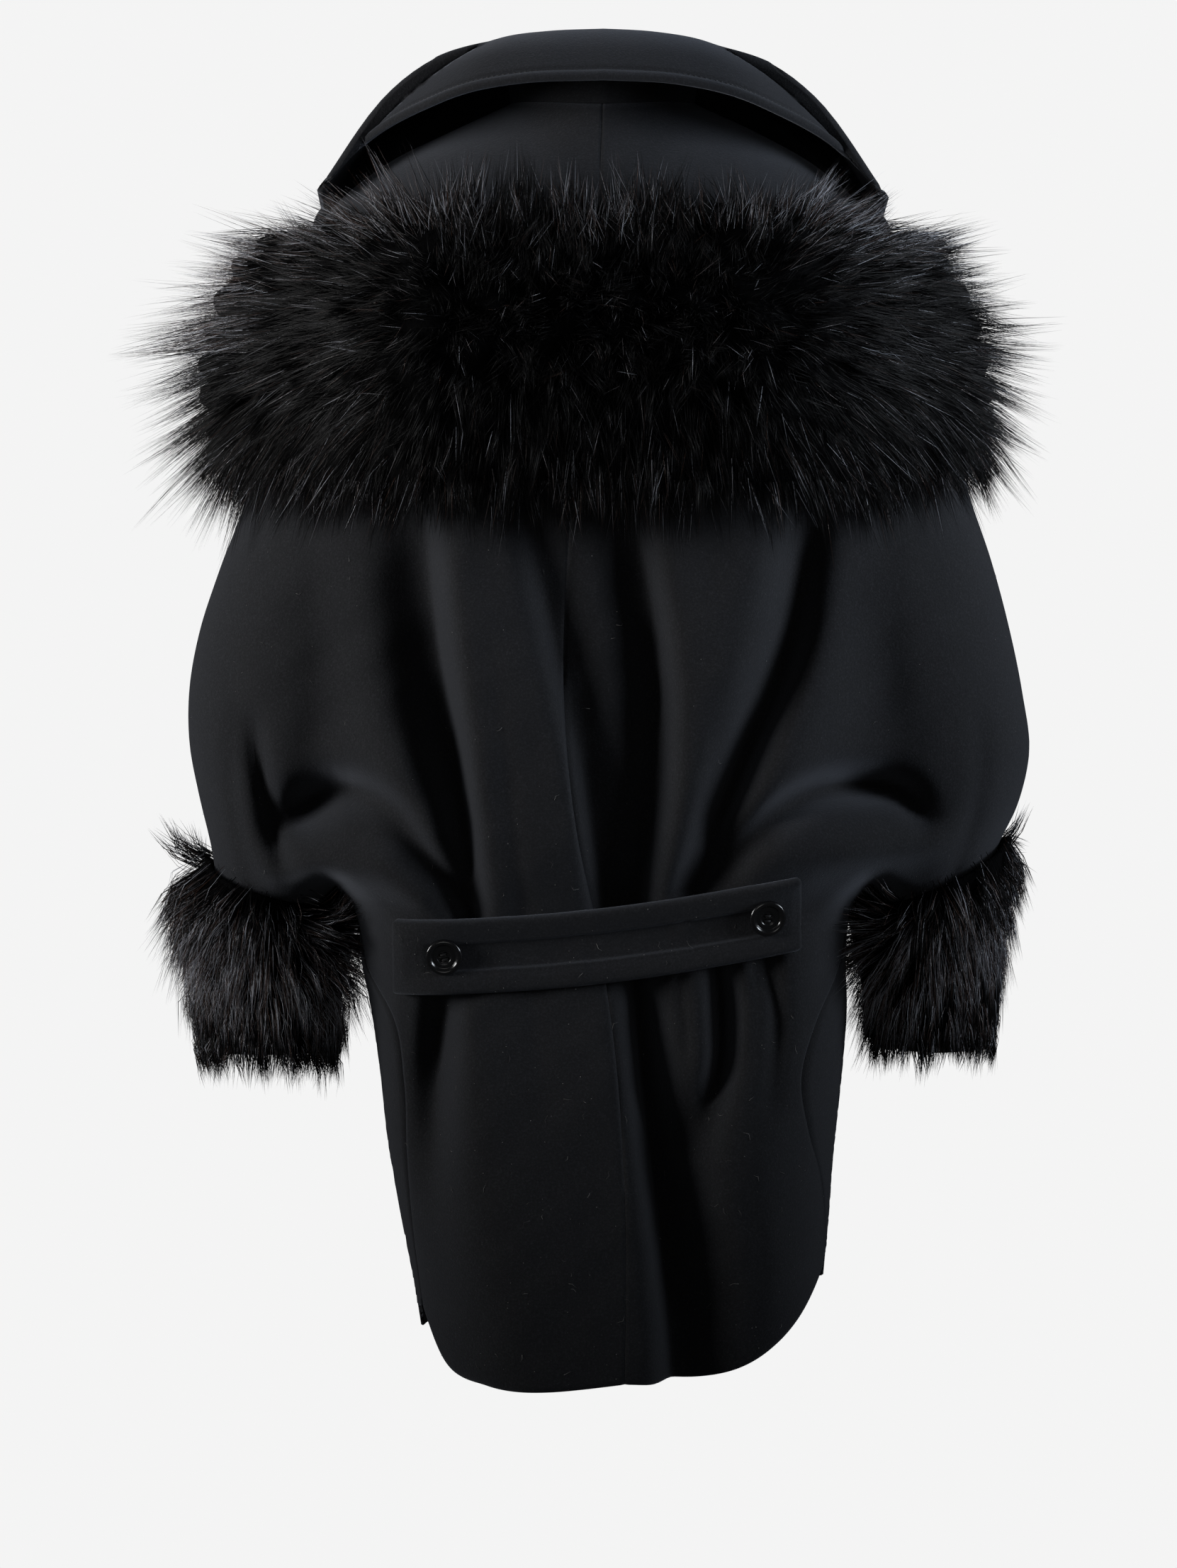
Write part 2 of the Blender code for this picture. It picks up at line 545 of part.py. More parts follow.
def add_panels():
    made = {name: panel(*which) for name, which in PANELS.items()}
    normals = {name: normals_of(p, f) for name, (p, f, _, _) in made.items()}
    # two panels that meet share one direction at their seam, so that their cut edges are parallel
    shared = {}
    for name, (_, _, seams, _) in made.items():
        for i, (_, _, place_on_seam) in seams.items():
            shared.setdefault(place_on_seam, []).append((name, i))
    moved = {name: made[name][0].copy() for name in made}
    for place_on_seam, group in shared.items():
        n = sum(normals[name][i] for name, i in group)
        n = n / np.linalg.norm(n)
        ways = []
        for name, i in group:
            normals[name][i] = n
            p, _, seams, _ = made[name]
            way = p[seams[i][0]] - p[i]
            across = np.cross(n, seams[i][1])
            way = across * (way @ across)
            ways.append(way / np.linalg.norm(way))
        apart = ways[0] - ways[-1] if len(group) > 1 else ways[0]
        apart = apart / np.linalg.norm(apart) * GAP / 2
        if place_on_seam[0] == "under the arm":  # a corner: behind and before it, a little further
            apart = np.array([0, GAP, 0])
        elif place_on_seam[0] == "side" and place_on_seam[2] == 0:
            apart = apart * 2
        for (name, i), sign in zip(group, (1, -1)):
            moved[name][i] += apart * sign
    for name, (_, faces, _, _) in made.items():
        add_wall(name, moved[name], normals[name], faces, WOOL, WALL / 2, -WALL / 2)


add_panels()


# ---------------------------------------------------------------- collar
def neckline(side):
    """The upper edge of the panels from centre back to the front edge, and the way on from it."""
    q = np.linspace(0, 1, 60)
    edges = []
    for face in ("back", "front"):
        if face == "back":
            x, z = NECK_HALF_WIDTH * q, NECK_BACK_Z + (NECK_SIDE_Z - NECK_BACK_Z) * q**1.6
        else:
            x = COLLAR_END_X + (NECK_HALF_WIDTH - COLLAR_END_X) * q
            z = NECK_FRONT_Z + (NECK_SIDE_Z - NECK_FRONT_Z) * (x + FRONT_OVERLAP) / (NECK_HALF_WIDTH + FRONT_OVERLAP)
        edge = place(side, face, x, z, False)
        # one step down the cloth, away from the neck
        step = 3.0
        out = np.stack([q, (q - 1) * 1.0], axis=1) if face == "back" else np.stack([np.full(60, 0.8), np.full(60, -0.6)], axis=1)
        out = out / np.linalg.norm(out, axis=1, keepdims=True)
        inside = place(side, face, x + out[:, 0] * step, z + out[:, 1] * step, False)
        onward = edge - inside
        edges.append((edge, onward / np.linalg.norm(onward, axis=1, keepdims=True)))
    (back, back_on), (front, front_on) = edges
    return np.vstack([back, front[::-1][1:]]), np.vstack([back_on, front_on[::-1][1:]])


def add_collar():
    """Sections round the neck, each from the neck seam over the roll to the leaf's edge."""
    down = (0, 0.5, 1, 2, 2.6, 3.2, 4, 4.5, 5)
    places = np.linspace(0, 1, 17)
    along = [row[0] for row in COLLAR]
    table = np.array([row[1:] for row in COLLAR], float)  # row, column, xyz
    sides = {}
    for side in (LEFT, RIGHT):
        edge, onward = neckline(side)
        run = np.r_[0, np.cumsum(np.linalg.norm(np.diff(edge, axis=0), axis=1))]
        rows = []
        for a in places:
            rest = np.array([[smooth(a, along, table[:, c, k]) for k in range(3)] for c in range(table.shape[1])])
            rest = rest * (side, 1, 1)
            rest[:, 1] -= (side == RIGHT) * OVERLAP_LIFT * (ease((a - 0.42) / 0.12) + ease((a - 0.8) / 0.2))
            rest[:, 2] -= (side == RIGHT) * 6 * ease(a * 3) * np.array([0, 0.2, 0.5, 0.8, 1])
            seam = np.array([np.interp(a * run[-1], run, edge[:, k]) for k in range(3)])
            on = np.array([np.interp(a * run[-1], run, onward[:, k]) for k in range(3)])
            up = rest[0] - seam
            up /= np.linalg.norm(up)
            # the stand's lower edge keeps clear of the panel's edge, the more so where it leans out
            across = math.sqrt(max(0, 1 - float(on @ up) ** 2))
            lean = max(0, -float(on @ up)) / max(across, 0.5)
            seam = seam + on * (1.1 + COLLAR_THICK / 2 * across + 1.4 * WALL * lean)
            seam = seam + up * (0.5 + WALL / 2 * across) * max(0, 1 - 3 * lean)
            knots = np.vstack([seam, rest])
            rows.append([[smooth(d, range(len(knots)), knots[:, k]) for k in range(3)] for d in down])
        rows = np.array(rows)
        # the leaf keeps clear of the cloth under it
        face = np.where(rows[..., 1] > 5, 1, -1)
        x, z = rows[..., 0] * side, rows[..., 2]
        least = WALL / 2 + COLLAR_THICK / 2 + LEAF_CLEAR
        for which, sign in (("back", 1), ("front", -1)):
            need = seam_plane(x, z) * sign + stand_off(side, which, x, z) + least
            low = (face == sign) & (np.arange(len(down)) >= 5)[None] & (rows[..., 1] * sign < need)
            rows[..., 1] = np.where(low, need * sign, rows[..., 1])
        sides[side] = rows
    strip = np.concatenate([sides[RIGHT][::-1], sides[LEFT][1:]])
    strip[len(places) - 1, :, 0] = 0
    n_places, n_down = strip.shape[:2]
    points = strip.reshape(-1, 3)
    faces = []
    for i in range(n_places - 1):
        for j in range(n_down - 1):
            a = i * n_down + j
            faces.append((a, a + n_down, a + n_down + 1, a + 1))
    n = normals_of(points, faces)
    add_wall("collar", points, n, faces, WOOL, COLLAR_THICK / 2, -COLLAR_THICK / 2)


add_collar()


# ---------------------------------------------------------------- fur band
def band_strip():
    """Points under the band, from its right front edge round the back to its left front edge,
    how much further the fur stands off at each, and where the band is cut in three."""
    back_across = np.r_[np.linspace(0, 0.66, 8), 0.66 + 0.34 * np.sin(np.arange(1, 7) / 6 * math.pi / 2)]
    front_across = np.r_[np.linspace(BAND_FRONT[0][0], 0.62, 6), 0.62 + 0.38 * np.sin(np.arange(1, 6) / 6 * math.pi / 2)]
    down = np.array([row[0] for row in PILE_FORM])
    sides, swells = {}, {}
    for side in (LEFT, RIGHT):
        columns, swell = [], []
        for face, across, rows in (("back", back_across, BAND_BACK), ("front", front_across[::-1], BAND_FRONT)):
            for a in across:
                top, bottom = (column(rows, BAND_COLUMNS, name, a) for name in ("top", "bottom"))
                z = top + (bottom - top) * down
                line = OUTER_LINE[side]
                xo = np.interp(-z, -line[:, 1], line[:, 0])
                x = a * xo
                columns.append(place(side, face, x, z, False))
                swell.append(BAND_SWELL[side] * ease((a - 0.55) / 0.45))
        sides[side], swells[side] = columns, swell
    seam = len(back_across) - 1
    strip = sides[RIGHT][::-1] + sides[LEFT][1:]
    middle_column = len(sides[RIGHT]) - 1
    swell = swells[RIGHT][::-1] + swells[LEFT][1:]
    return np.array(strip), np.array(swell), middle_column - seam, middle_column + seam


def add_band():
    strip, swell, right_seam, left_seam = band_strip()
    n_columns, n_down = strip.shape[:2]
    points = strip.reshape(-1, 3)
    faces = [
        (i * n_down + j, (i + 1) * n_down + j, (i + 1) * n_down + j + 1, i * n_down + j + 1)
        for i in range(n_columns - 1)
        for j in range(n_down - 1)
    ]
    normals = normals_of(points, faces).reshape(strip.shape)
    share = np.array([row[1] for row in PILE_FORM])
    # the fur stands in broad tufts
    places = np.arange(n_columns)[:, None]
    tuft = 1 + 0.06 * np.sin(places * 2.1 + np.arange(n_down) * 1.3) + 0.04 * np.sin(places * 0.9 + 2)
    pieces = {
        "fur_band_right": (0, right_seam),
        "fur_band_back": (right_seam, left_seam),
        "fur_band_left": (left_seam, n_columns - 1),
    }
    for name, (first, end) in pieces.items():
        base = strip[first : end + 1].copy()
        n = normals[first : end + 1]
        for edge, beside, joined in ((0, 1, first > 0), (-1, -2, end < n_columns - 1)):
            if joined:
                inward = base[beside] - base[edge]
                inward -= n[edge] * (inward * n[edge]).sum(1, keepdims=True)
                base[edge] += inward / np.linalg.norm(inward, axis=1, keepdims=True) * GAP / 2
        pile = (PILE + swell[first : end + 1, None]) * share * tuft[first : end + 1]
        outer = base + n * (BAND_CLEAR + pile)[..., None]
        inner = base + n * (BAND_CLEAR)
        width = end - first + 1
        part_faces = [
            (i * n_down + j, (i + 1) * n_down + j, (i + 1) * n_down + j + 1, i * n_down + j + 1)
            for i in range(width - 1)
            for j in range(n_down - 1)
        ]
        everything = np.vstack([outer.reshape(-1, 3), inner.reshape(-1, 3)])
        add_mesh(name, everything, closed_faces(part_faces, width * n_down), FUR)


add_band()


# ---------------------------------------------------------------- fur cuffs
# Down the cuff: how far along it, how far its fur stands off as a share of the pile.
CUFF_FORM_COLUMNS = ("down", "share")
CUFF_FORM = [(0.0, 0.50), (0.10, 0.84), (0.3, 1.0), (0.6, 0.98), (0.85, 0.94), (1.0, 0.78)]
CUFF_SIDES = 16


def add_cuff(name, side):
    """A ring of fur round the sleeve's end, lower on its inner side, under the pouch of the arm."""
    angle = np.arange(CUFF_SIDES) / CUFF_SIDES * 2 * math.pi  # 0 towards the body, then behind
    rows = []
    for down, share in CUFF_FORM:
        towards_body = (1 + np.cos(angle)) / 2
        top = -612 - 24 * towards_body - 10 * np.abs(np.sin(angle))
        z = top + (CUFF_END_Z - top) * down
        zz = np.maximum(z, SLEEVE_END_Z)
        xi = np.interp(-zz, -SLEEVE_LINE[:, 1], SLEEVE_LINE[:, 0])
        xo = np.interp(-zz, -OUTER_LINE[side][:, 1], OUTER_LINE[side][:, 0])
        middle_x, half = (xi + xo) / 2, (xo - xi) / 2
        face = np.where(np.sin(angle) >= 0, section("arm_back", zz), section("arm_front", zz))
        across, behind = -np.cos(angle), np.sin(angle)
        grow = WALL / 2 + 2.6
        pile = CUFF_PILE * share * (1 - 0.2 * towards_body**2) * (1 + 0.05 * np.sin(angle * 5 + down * 4))
        ring = []
        for extra in (0 * pile, pile):
            ring.append(
                np.stack(
                    [
                        (middle_x + (half + grow + extra) * across) * side,
                        seam_plane(middle_x, zz) + (face + grow + extra) * behind,
                        z,
                    ],
                    axis=-1,
                )
            )
        rows.append(ring)
    inner = np.array([r[0] for r in rows])
    outer = np.array([r[1] for r in rows])
    outer[0, :, 2] += 8 * (1 - (1 + np.cos(angle)) / 2)  # hairs at the top lift a little
    profile = np.concatenate([outer, inner[::-1]])  # a closed section round each angle
    n_rows = len(profile)
    points = profile.reshape(-1, 3)
    faces = []
    for i in range(n_rows):
        for j in range(CUFF_SIDES):
            k, m = (i + 1) % n_rows, (j + 1) % CUFF_SIDES
            f = (i * CUFF_SIDES + j, k * CUFF_SIDES + j, k * CUFF_SIDES + m, i * CUFF_SIDES + m)
            faces.append(f if side == RIGHT else tuple(reversed(f)))
    return add_mesh(name, points, faces, FUR)


add_cuff("cuff_fur_left", LEFT)
add_cuff("cuff_fur_right", RIGHT)


# ---------------------------------------------------------------- belt
def on_back(x, z):
    """The back without its folds, over both halves: points and outward directions."""
    x, z = np.asarray(x, float), np.asarray(z, float)

    def at(x, z):
        plain = [
            np.maximum(stand_off(side, "back", x * side, z, False), stand_off(side, "back", x * side, z))
            for side in (LEFT, RIGHT)
        ]
        y = np.where(x > 0, *plain)
        return np.stack([x, y, z], axis=-1)

    step = 2.0
    along, up = at(x + step, z) - at(x - step, z), at(x, z + step) - at(x, z - step)
    n = np.cross(up, along)
    return at(x, z), n / np.linalg.norm(n, axis=-1, keepdims=True)


def belt_line(t):
    x = BELT_LEFT[0] + (BELT_RIGHT[0] - BELT_LEFT[0]) * t
    z = BELT_LEFT[1] + (BELT_RIGHT[1] - BELT_LEFT[1]) * t - BELT_SAG * np.sin(np.pi * t)
    return x, z


BELT_CLEAR = WALL / 2 + 1.2
BELT_CORNER = 9


def belt_skin(t, s):
    """The belt's under side at t along it and s mm above its middle line, and its outward direction."""
    x, z = belt_line(t)
    point, n = on_back(x, z + s)
    middle_point, middle_n = on_back(x, z)
    # a belt is flat across its height: its under side keeps to the plane of its middle line
    n = 0.5 * n + 0.5 * middle_n
    return point, n / np.linalg.norm(n, axis=-1, keepdims=True)


def add_belt():
    length = math.dist(BELT_LEFT, BELT_RIGHT)
    ends = np.array([0, 2.6, BELT_CORNER, BELT_BORDER - 1, BELT_BORDER + 1.5])
    t = np.r_[ends / length, np.linspace(0, 1, 16)[2:-2], 1 - ends[::-1] / length]
    half = BELT_HEIGHT / 2
    from_end = np.minimum(t, 1 - t) * length
    reach = half - BELT_CORNER + np.sqrt(np.maximum(0, BELT_CORNER**2 - np.maximum(0, BELT_CORNER - from_end) ** 2))
    lane = half - BELT_BORDER
    across = np.array([-1.0, -0.72, -(lane + 1.5) / half, -(lane - 1) / half, 0, (lane - 1) / half, (lane + 1.5) / half, 0.72, 1.0])
    rim = np.array([-1.6, 0, 0, -BELT_STEP, -BELT_STEP, -BELT_STEP, 0, 0, -1.6])
    rows_out, rows_in = [], []
    for ti, ri, fi in zip(t, reach, from_end):
        s = across * half
        s = np.where(np.abs(across) > 0.7, across * ri, s)
        p, n = belt_skin(np.full(len(s), ti), s)
        step = rim if fi > BELT_BORDER else np.where(np.abs(across) == 1, -1.6, 0.0)
        if fi < 1:
            step = np.full(len(s), -1.6)
        rows_in.append(p + n * BELT_CLEAR)
        rows_out.append(p + n * (BELT_CLEAR + BELT_THICK + step)[:, None])
    outer, inner = np.array(rows_out), np.array(rows_in)
    n_along, n_across = outer.shape[:2]
    faces = [
        (i * n_across + j, i * n_across + j + 1, (i + 1) * n_across + j + 1, (i + 1) * n_across + j)
        for i in range(n_along - 1)
        for j in range(n_across - 1)
    ]
    points = np.vstack([outer.reshape(-1, 3), inner.reshape(-1, 3)])
    add_mesh("belt", points, closed_faces([tuple(reversed(f)) for f in faces], n_along * n_across), WOOL)


add_belt()


# ---------------------------------------------------------------- buttons
def add_button(name, centre, direction):
    """A turned button with a raised rim: a profile, from its middle outwards, spun round its axis."""
    direction = Vector(direction).normalized()
    profile = [(0, 0), (10.5, 0), (BUTTON_R, 2.2), (BUTTON_R, 3.6), (12.6, BUTTON_THICK), (10.4, 4.2), (9.2, 3.2), (0, 3.0)]
    mesh = bmesh.new()
    sides = 16
    rings = [
        [mesh.verts.new((r * math.cos(a) * 0.001, r * math.sin(a) * 0.001, h * 0.001)) for a in (2 * math.pi * k / sides for k in range(sides))]
        for r, h in profile[1:-1]
    ]
    bottom, top = (mesh.verts.new((0, 0, h * 0.001)) for h in (profile[0][1], profile[-1][1]))
    for lower, upper in zip(rings, rings[1:]):
        for k in range(sides):
            mesh.faces.new((lower[k], lower[(k + 1) % sides], upper[(k + 1) % sides], upper[k]))
    for k in range(sides):
        mesh.faces.new((bottom, rings[0][(k + 1) % sides], rings[0][k]))
        mesh.faces.new((top, rings[-1][k], rings[-1][(k + 1) % sides]))
    data = bpy.data.meshes.new(name)
    mesh.to_mesh(data)
    mesh.free()
    data.materials.append(HORN)
    data.shade_smooth()
    obj = bpy.data.objects.new(name, data)
    obj.matrix_world = Matrix.Translation(Vector(centre) * 0.001) @ direction.to_track_quat("Z", "Y").to_matrix().to_4x4()
    COAT.objects.link(obj)


def add_buttons():
    for name, (x, z) in (("belt_button_left", BELT_BUTTON_LEFT), ("belt_button_right", BELT_BUTTON_RIGHT)):
        p, n = on_back(np.array(x), np.array(z))
        add_button(name, p + n * (BELT_CLEAR + BELT_THICK + 1.0), n)
    for k, z in enumerate(FRONT_BUTTONS_Z):
        p = place(RIGHT, "front", np.array([0.0, 0.0, 0.0]), np.array([z, z - 10, z + 10]))
        n = np.cross(p[2] - p[1], (-1, 0, 0))
        n /= np.linalg.norm(n)
        add_button(f"front_button_{k + 1}", p[0] + n * (WALL / 2 + 0.55), n)


add_buttons()
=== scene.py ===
# %% [markdown]
# # A wide black coat with a fur band
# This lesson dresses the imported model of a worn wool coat: batwing sleeves, a turned-down
# collar, a half belt, a fur band round the shoulders and fur cuffs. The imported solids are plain
# walls with soft folds. Here each one gets a finer surface, real cloth and real hair.
# All sizes are millimetres in the tables and become metres when a mesh is made.

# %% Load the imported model
import math

import bpy
import numpy as np
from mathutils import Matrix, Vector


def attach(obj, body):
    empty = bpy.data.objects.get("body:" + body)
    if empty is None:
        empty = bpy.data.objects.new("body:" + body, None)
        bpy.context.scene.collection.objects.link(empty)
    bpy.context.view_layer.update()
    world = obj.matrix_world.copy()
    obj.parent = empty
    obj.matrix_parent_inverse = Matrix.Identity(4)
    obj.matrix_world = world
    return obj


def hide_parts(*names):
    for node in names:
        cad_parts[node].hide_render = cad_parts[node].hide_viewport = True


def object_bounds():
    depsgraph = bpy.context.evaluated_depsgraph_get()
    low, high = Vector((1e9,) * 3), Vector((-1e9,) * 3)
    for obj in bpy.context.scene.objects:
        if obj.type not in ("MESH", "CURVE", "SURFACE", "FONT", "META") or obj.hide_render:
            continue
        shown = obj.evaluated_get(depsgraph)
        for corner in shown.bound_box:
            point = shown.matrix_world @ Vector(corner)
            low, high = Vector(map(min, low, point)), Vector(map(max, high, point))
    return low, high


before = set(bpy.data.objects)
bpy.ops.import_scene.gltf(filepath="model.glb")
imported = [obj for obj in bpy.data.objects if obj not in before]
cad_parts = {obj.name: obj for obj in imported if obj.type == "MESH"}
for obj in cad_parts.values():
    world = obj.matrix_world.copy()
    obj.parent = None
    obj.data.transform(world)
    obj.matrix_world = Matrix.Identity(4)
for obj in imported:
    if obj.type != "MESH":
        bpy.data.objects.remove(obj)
MM = 0.001
cad_box = [list(corner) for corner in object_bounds()]
print("packed solids:", len(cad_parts))

# %% [markdown]
# ## Camera and light
# A product photograph of a black coat is lit by large soft boxes, because only their
# reflections and the slow change of light across a fold show its form. The camera stands behind
# the coat, a little below the shoulders. The coat hangs in the air as it did on its wearer,
# before a plain white that is brighter to the eye than as a light.

# %% Camera
CAMERA_AT, LOOK_AT = (0.011, 3.2, -0.35), (0.011, 0.0, -0.531)
SENSOR_HEIGHT = 36
PICTURE_PIXELS, PIXELS_A_MM = 2212, 1.8
PICTURE_HEIGHT = PICTURE_PIXELS / PIXELS_A_MM * MM  # what the picture's height covers at the coat

camera = bpy.data.objects.new("camera", bpy.data.cameras.new("camera"))
camera.data.sensor_fit = "VERTICAL"
camera.data.sensor_height = SENSOR_HEIGHT
camera.data.lens = SENSOR_HEIGHT * CAMERA_AT[1] / PICTURE_HEIGHT
camera.location = CAMERA_AT
down = math.atan2(CAMERA_AT[2] - LOOK_AT[2], CAMERA_AT[1])
camera.rotation_euler = (math.pi / 2 - down, 0, math.pi)
bpy.context.scene.collection.objects.link(camera)
bpy.context.scene.camera = camera
print("lens", round(camera.data.lens, 1), "mm")

# %% White surroundings, seen brighter than they light
WHITE = 0.905  # what the camera sees
FILL = 0.04  # how strongly the same surroundings light the coat

world = bpy.data.worlds.new("studio")
bpy.context.scene.world = world
world.use_nodes = True
nodes, links = world.node_tree.nodes, world.node_tree.links
seen, fill = nodes["Background"], nodes.new("ShaderNodeBackground")
seen.inputs["Color"].default_value = (WHITE, WHITE, WHITE, 1)
fill.inputs["Color"].default_value = (0.94, 0.97, 1.0, 1)
fill.inputs["Strength"].default_value = FILL
path, choose = nodes.new("ShaderNodeLightPath"), nodes.new("ShaderNodeMixShader")
links.new(path.outputs["Is Camera Ray"], choose.inputs["Fac"])
links.new(fill.outputs["Background"], choose.inputs[1])
links.new(seen.outputs["Background"], choose.inputs[2])
links.new(choose.outputs["Shader"], nodes["World Output"].inputs["Surface"])
bpy.context.scene.view_settings.view_transform = "Standard"

# %% Soft boxes
SOFT_BOX_COLUMNS = ("place", "size", "watts", "spread", "colour")
SOFT_BOXES = {
    "left": ((2.0, 0.74, -0.05), 0.9, 5.2, 54, (1, 1, 1)),
    "right": ((-1.9, 0.64, 0.1), 0.9, 3.9, 48, (0.84, 0.91, 1)),
    "camera": ((0.2, 3.3, 0.1), 1.6, 0.42, 34, (1, 0.99, 0.97)),
    "front": ((0.8, -3.0, 0.9), 1.8, 1.2, 120, (1, 1, 1)),
}


def aim(obj, place, target=(0, 0, -0.16)):
    """Puts an object at a place, with its -Z side towards the target."""
    way = np.array(target) - np.array(place)
    flat = math.hypot(way[0], way[1])
    obj.location = place
    obj.rotation_euler = (math.atan2(flat, -way[2]), 0, math.atan2(way[1], way[0]) - math.pi / 2)


for name, (place_of_box, size, watts, spread, colour) in SOFT_BOXES.items():
    lamp = bpy.data.lights.new(name, "AREA")
    lamp.size, lamp.energy, lamp.spread = size, watts, math.radians(spread)
    lamp.color = colour
    lamp_object = bpy.data.objects.new(name, lamp)
    bpy.context.scene.collection.objects.link(lamp_object)
    aim(lamp_object, place_of_box)
print("soft boxes:", len(SOFT_BOXES))

# %% [markdown]
# ## From arrays to meshes
# Every piece below is a numpy array of points and one of faces. `foreach_set` copies such an
# array into a mesh at once, where a loop over thousands of points would be slow.

# %% A mesh from arrays
def add_piece(name, points, faces, look, slot, replaced=()):
    """A finished piece: points (n, 3) in mm, faces (m, 3 or 4), its material, and its slot, which is not used."""
    points, faces = np.asarray(points, float).reshape(-1, 3), np.asarray(faces, np.int32)
    mesh = bpy.data.meshes.new(name)
    mesh.vertices.add(len(points))
    mesh.vertices.foreach_set("co", (points * MM).ravel())
    mesh.loops.add(faces.size)
    mesh.loops.foreach_set("vertex_index", faces.ravel())
    mesh.polygons.add(len(faces))
    mesh.polygons.foreach_set("loop_start", np.arange(0, faces.size, faces.shape[1], dtype=np.int32))
    mesh.update(calc_edges=True)
    mesh.validate()
    mesh.materials.append(look)
    mesh.shade_smooth()
    piece = bpy.data.objects.new(name, mesh)
    bpy.context.scene.collection.objects.link(piece)
    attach(piece, "root")
    if replaced:
        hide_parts(*replaced)
    print(f"{name}: {len(faces) * (faces.shape[1] - 2)} triangles")
    return piece


def grid_faces(numbers):
    """Four-sided faces over a grid of point numbers (rows, columns)."""
    corners = [numbers[:-1, :-1], numbers[:-1, 1:], numbers[1:, 1:], numbers[1:, :-1]]
    return np.stack(corners, axis=-1).reshape(-1, 4)


def normals_of(points, faces):
    """Unit normals: each point's is the mean of its faces' cross products of diagonals."""
    p = np.asarray(points)
    n = np.cross(p[faces[:, 2]] - p[faces[:, 0]], p[faces[:, 3]] - p[faces[:, 1]])
    out = np.zeros_like(p)
    for k in range(4):
        np.add.at(out, faces[:, k], n)
    return out / np.maximum(np.linalg.norm(out, axis=1, keepdims=True), 1e-9)


def unit(v):
    return v / np.maximum(np.linalg.norm(v, axis=-1, keepdims=True), 1e-9)


def faces_over(grid):
    """Four-sided faces over a grid of points (rows, columns, 3)."""
    return grid_faces(np.arange(grid[..., 0].size).reshape(grid.shape[:2]))


def ring_faces(rings, sides):
    """Triangles over rings of points that close on themselves."""
    n = np.arange(rings * sides).reshape(rings, sides)
    quads = grid_faces(np.hstack([n, n[:, :1]]))
    return n, np.vstack([quads[:, [0, 1, 2]], quads[:, [0, 2, 3]]])


def run_along(points):
    """The length along a line of points, from its start to each of them."""
    return np.r_[0, np.cumsum(np.linalg.norm(np.diff(points, axis=0), axis=1))]


def read_line(at, run, values):
    """Reads every column of values, given at the lengths run, at the lengths at."""
    return np.stack([np.interp(at, run, values[:, k]) for k in range(values.shape[1])], axis=-1)


def wall(points, normals, faces, outside, inside, bulge=0.0):
    """A closed wall round a surface: the outer side at points + normals * outside, the same
    faces turned round at the inner side, and a rim with a middle line that stands out by bulge."""
    count = len(points)
    a, b = faces.ravel(), np.roll(faces, -1, axis=1).ravel()
    free = ~np.isin(a.astype(np.int64) * count + b, b.astype(np.int64) * count + a)
    a, b = a[free], b[free]
    out = np.zeros_like(points)
    way = np.cross(points[b] - points[a], normals[a])
    np.add.at(out, a, way)
    np.add.at(out, b, way)
    outside, inside = (np.broadcast_to(v, count)[:, None] for v in (outside, inside))
    outer, inner = points + normals * outside, points + normals * inside
    rim = (outer + inner) / 2 + unit(out) * np.broadcast_to(bulge, count)[:, None]
    used = np.unique(a)
    number = np.zeros(count, np.int64)
    number[used] = 2 * count + np.arange(len(used))
    rims = [
        np.stack([b, a, number[a], number[b]], axis=1),
        np.stack([number[b], number[a], a + count, b + count], axis=1),
    ]
    return np.vstack([outer, inner, rim[used]]), np.vstack([faces, faces[:, ::-1] + count, *rims])


# %% [markdown]
# ## The cut of the coat
# The cloth of a worn coat stands off the plane through its side seams: by the body, by the arm,
# and less where it turns round a seam. A table of sections gives that distance at each height,
# another gives the outline, and a third gives the folds as soft troughs along lines. Every
# panel, and what lies on it, is read from this one surface, so that all of it fits.

# %% Smooth curves through short tables
LEFT, RIGHT = 1, -1  # the coat's own left is +X, and left in a picture of its back
WALL, SEAM_GAP = 3.0, 0.34


def ease(t):
    """Goes from 0 to 1 and is level at both ends: 3 t^2 - 2 t^3."""
    t = np.clip(t, 0, 1)
    return t * t * (3 - 2 * t)


def turn(t):
    """A quarter of a circle: 0 at the seam, 1 from t = 1 on."""
    return np.sqrt(np.maximum(0, 1 - (1 - np.clip(t, 0, 1)) ** 2))


def smooth(at, xs, ys):
    """A cubic between each two rows, with the slopes of the table's own points."""
    xs, ys = np.array(xs, float), np.array(ys, float)
    if xs[0] > xs[-1]:
        xs, ys = xs[::-1], ys[::-1]
    at = np.clip(np.asarray(at, float), xs[0], xs[-1])
    slope = np.gradient(ys, xs)
    i = np.clip(np.searchsorted(xs, at) - 1, 0, len(xs) - 2)
    h = xs[i + 1] - xs[i]
    t = (at - xs[i]) / h
    return (
        (2 * t**3 - 3 * t**2 + 1) * ys[i]
        + (t**3 - 2 * t**2 + t) * h * slope[i]
        + (3 * t**2 - 2 * t**3) * ys[i + 1]
        + (t**3 - t**2) * h * slope[i + 1]
    )


def column(rows, columns, name, at):
    """One named column of a table, read at places on its first column."""
    return smooth(at, [r[0] for r in rows], [r[columns.index(name)] for r in rows])


def curve_through(rows, count):
    """Points evenly along a smooth line through the rows, with every column of the rows."""
    rows = np.array(rows, float)
    along = run_along(rows[:, :2])
    at = np.linspace(0, along[-1], count)
    return np.stack([smooth(at, along, rows[:, k]) for k in range(rows.shape[1])], axis=1)

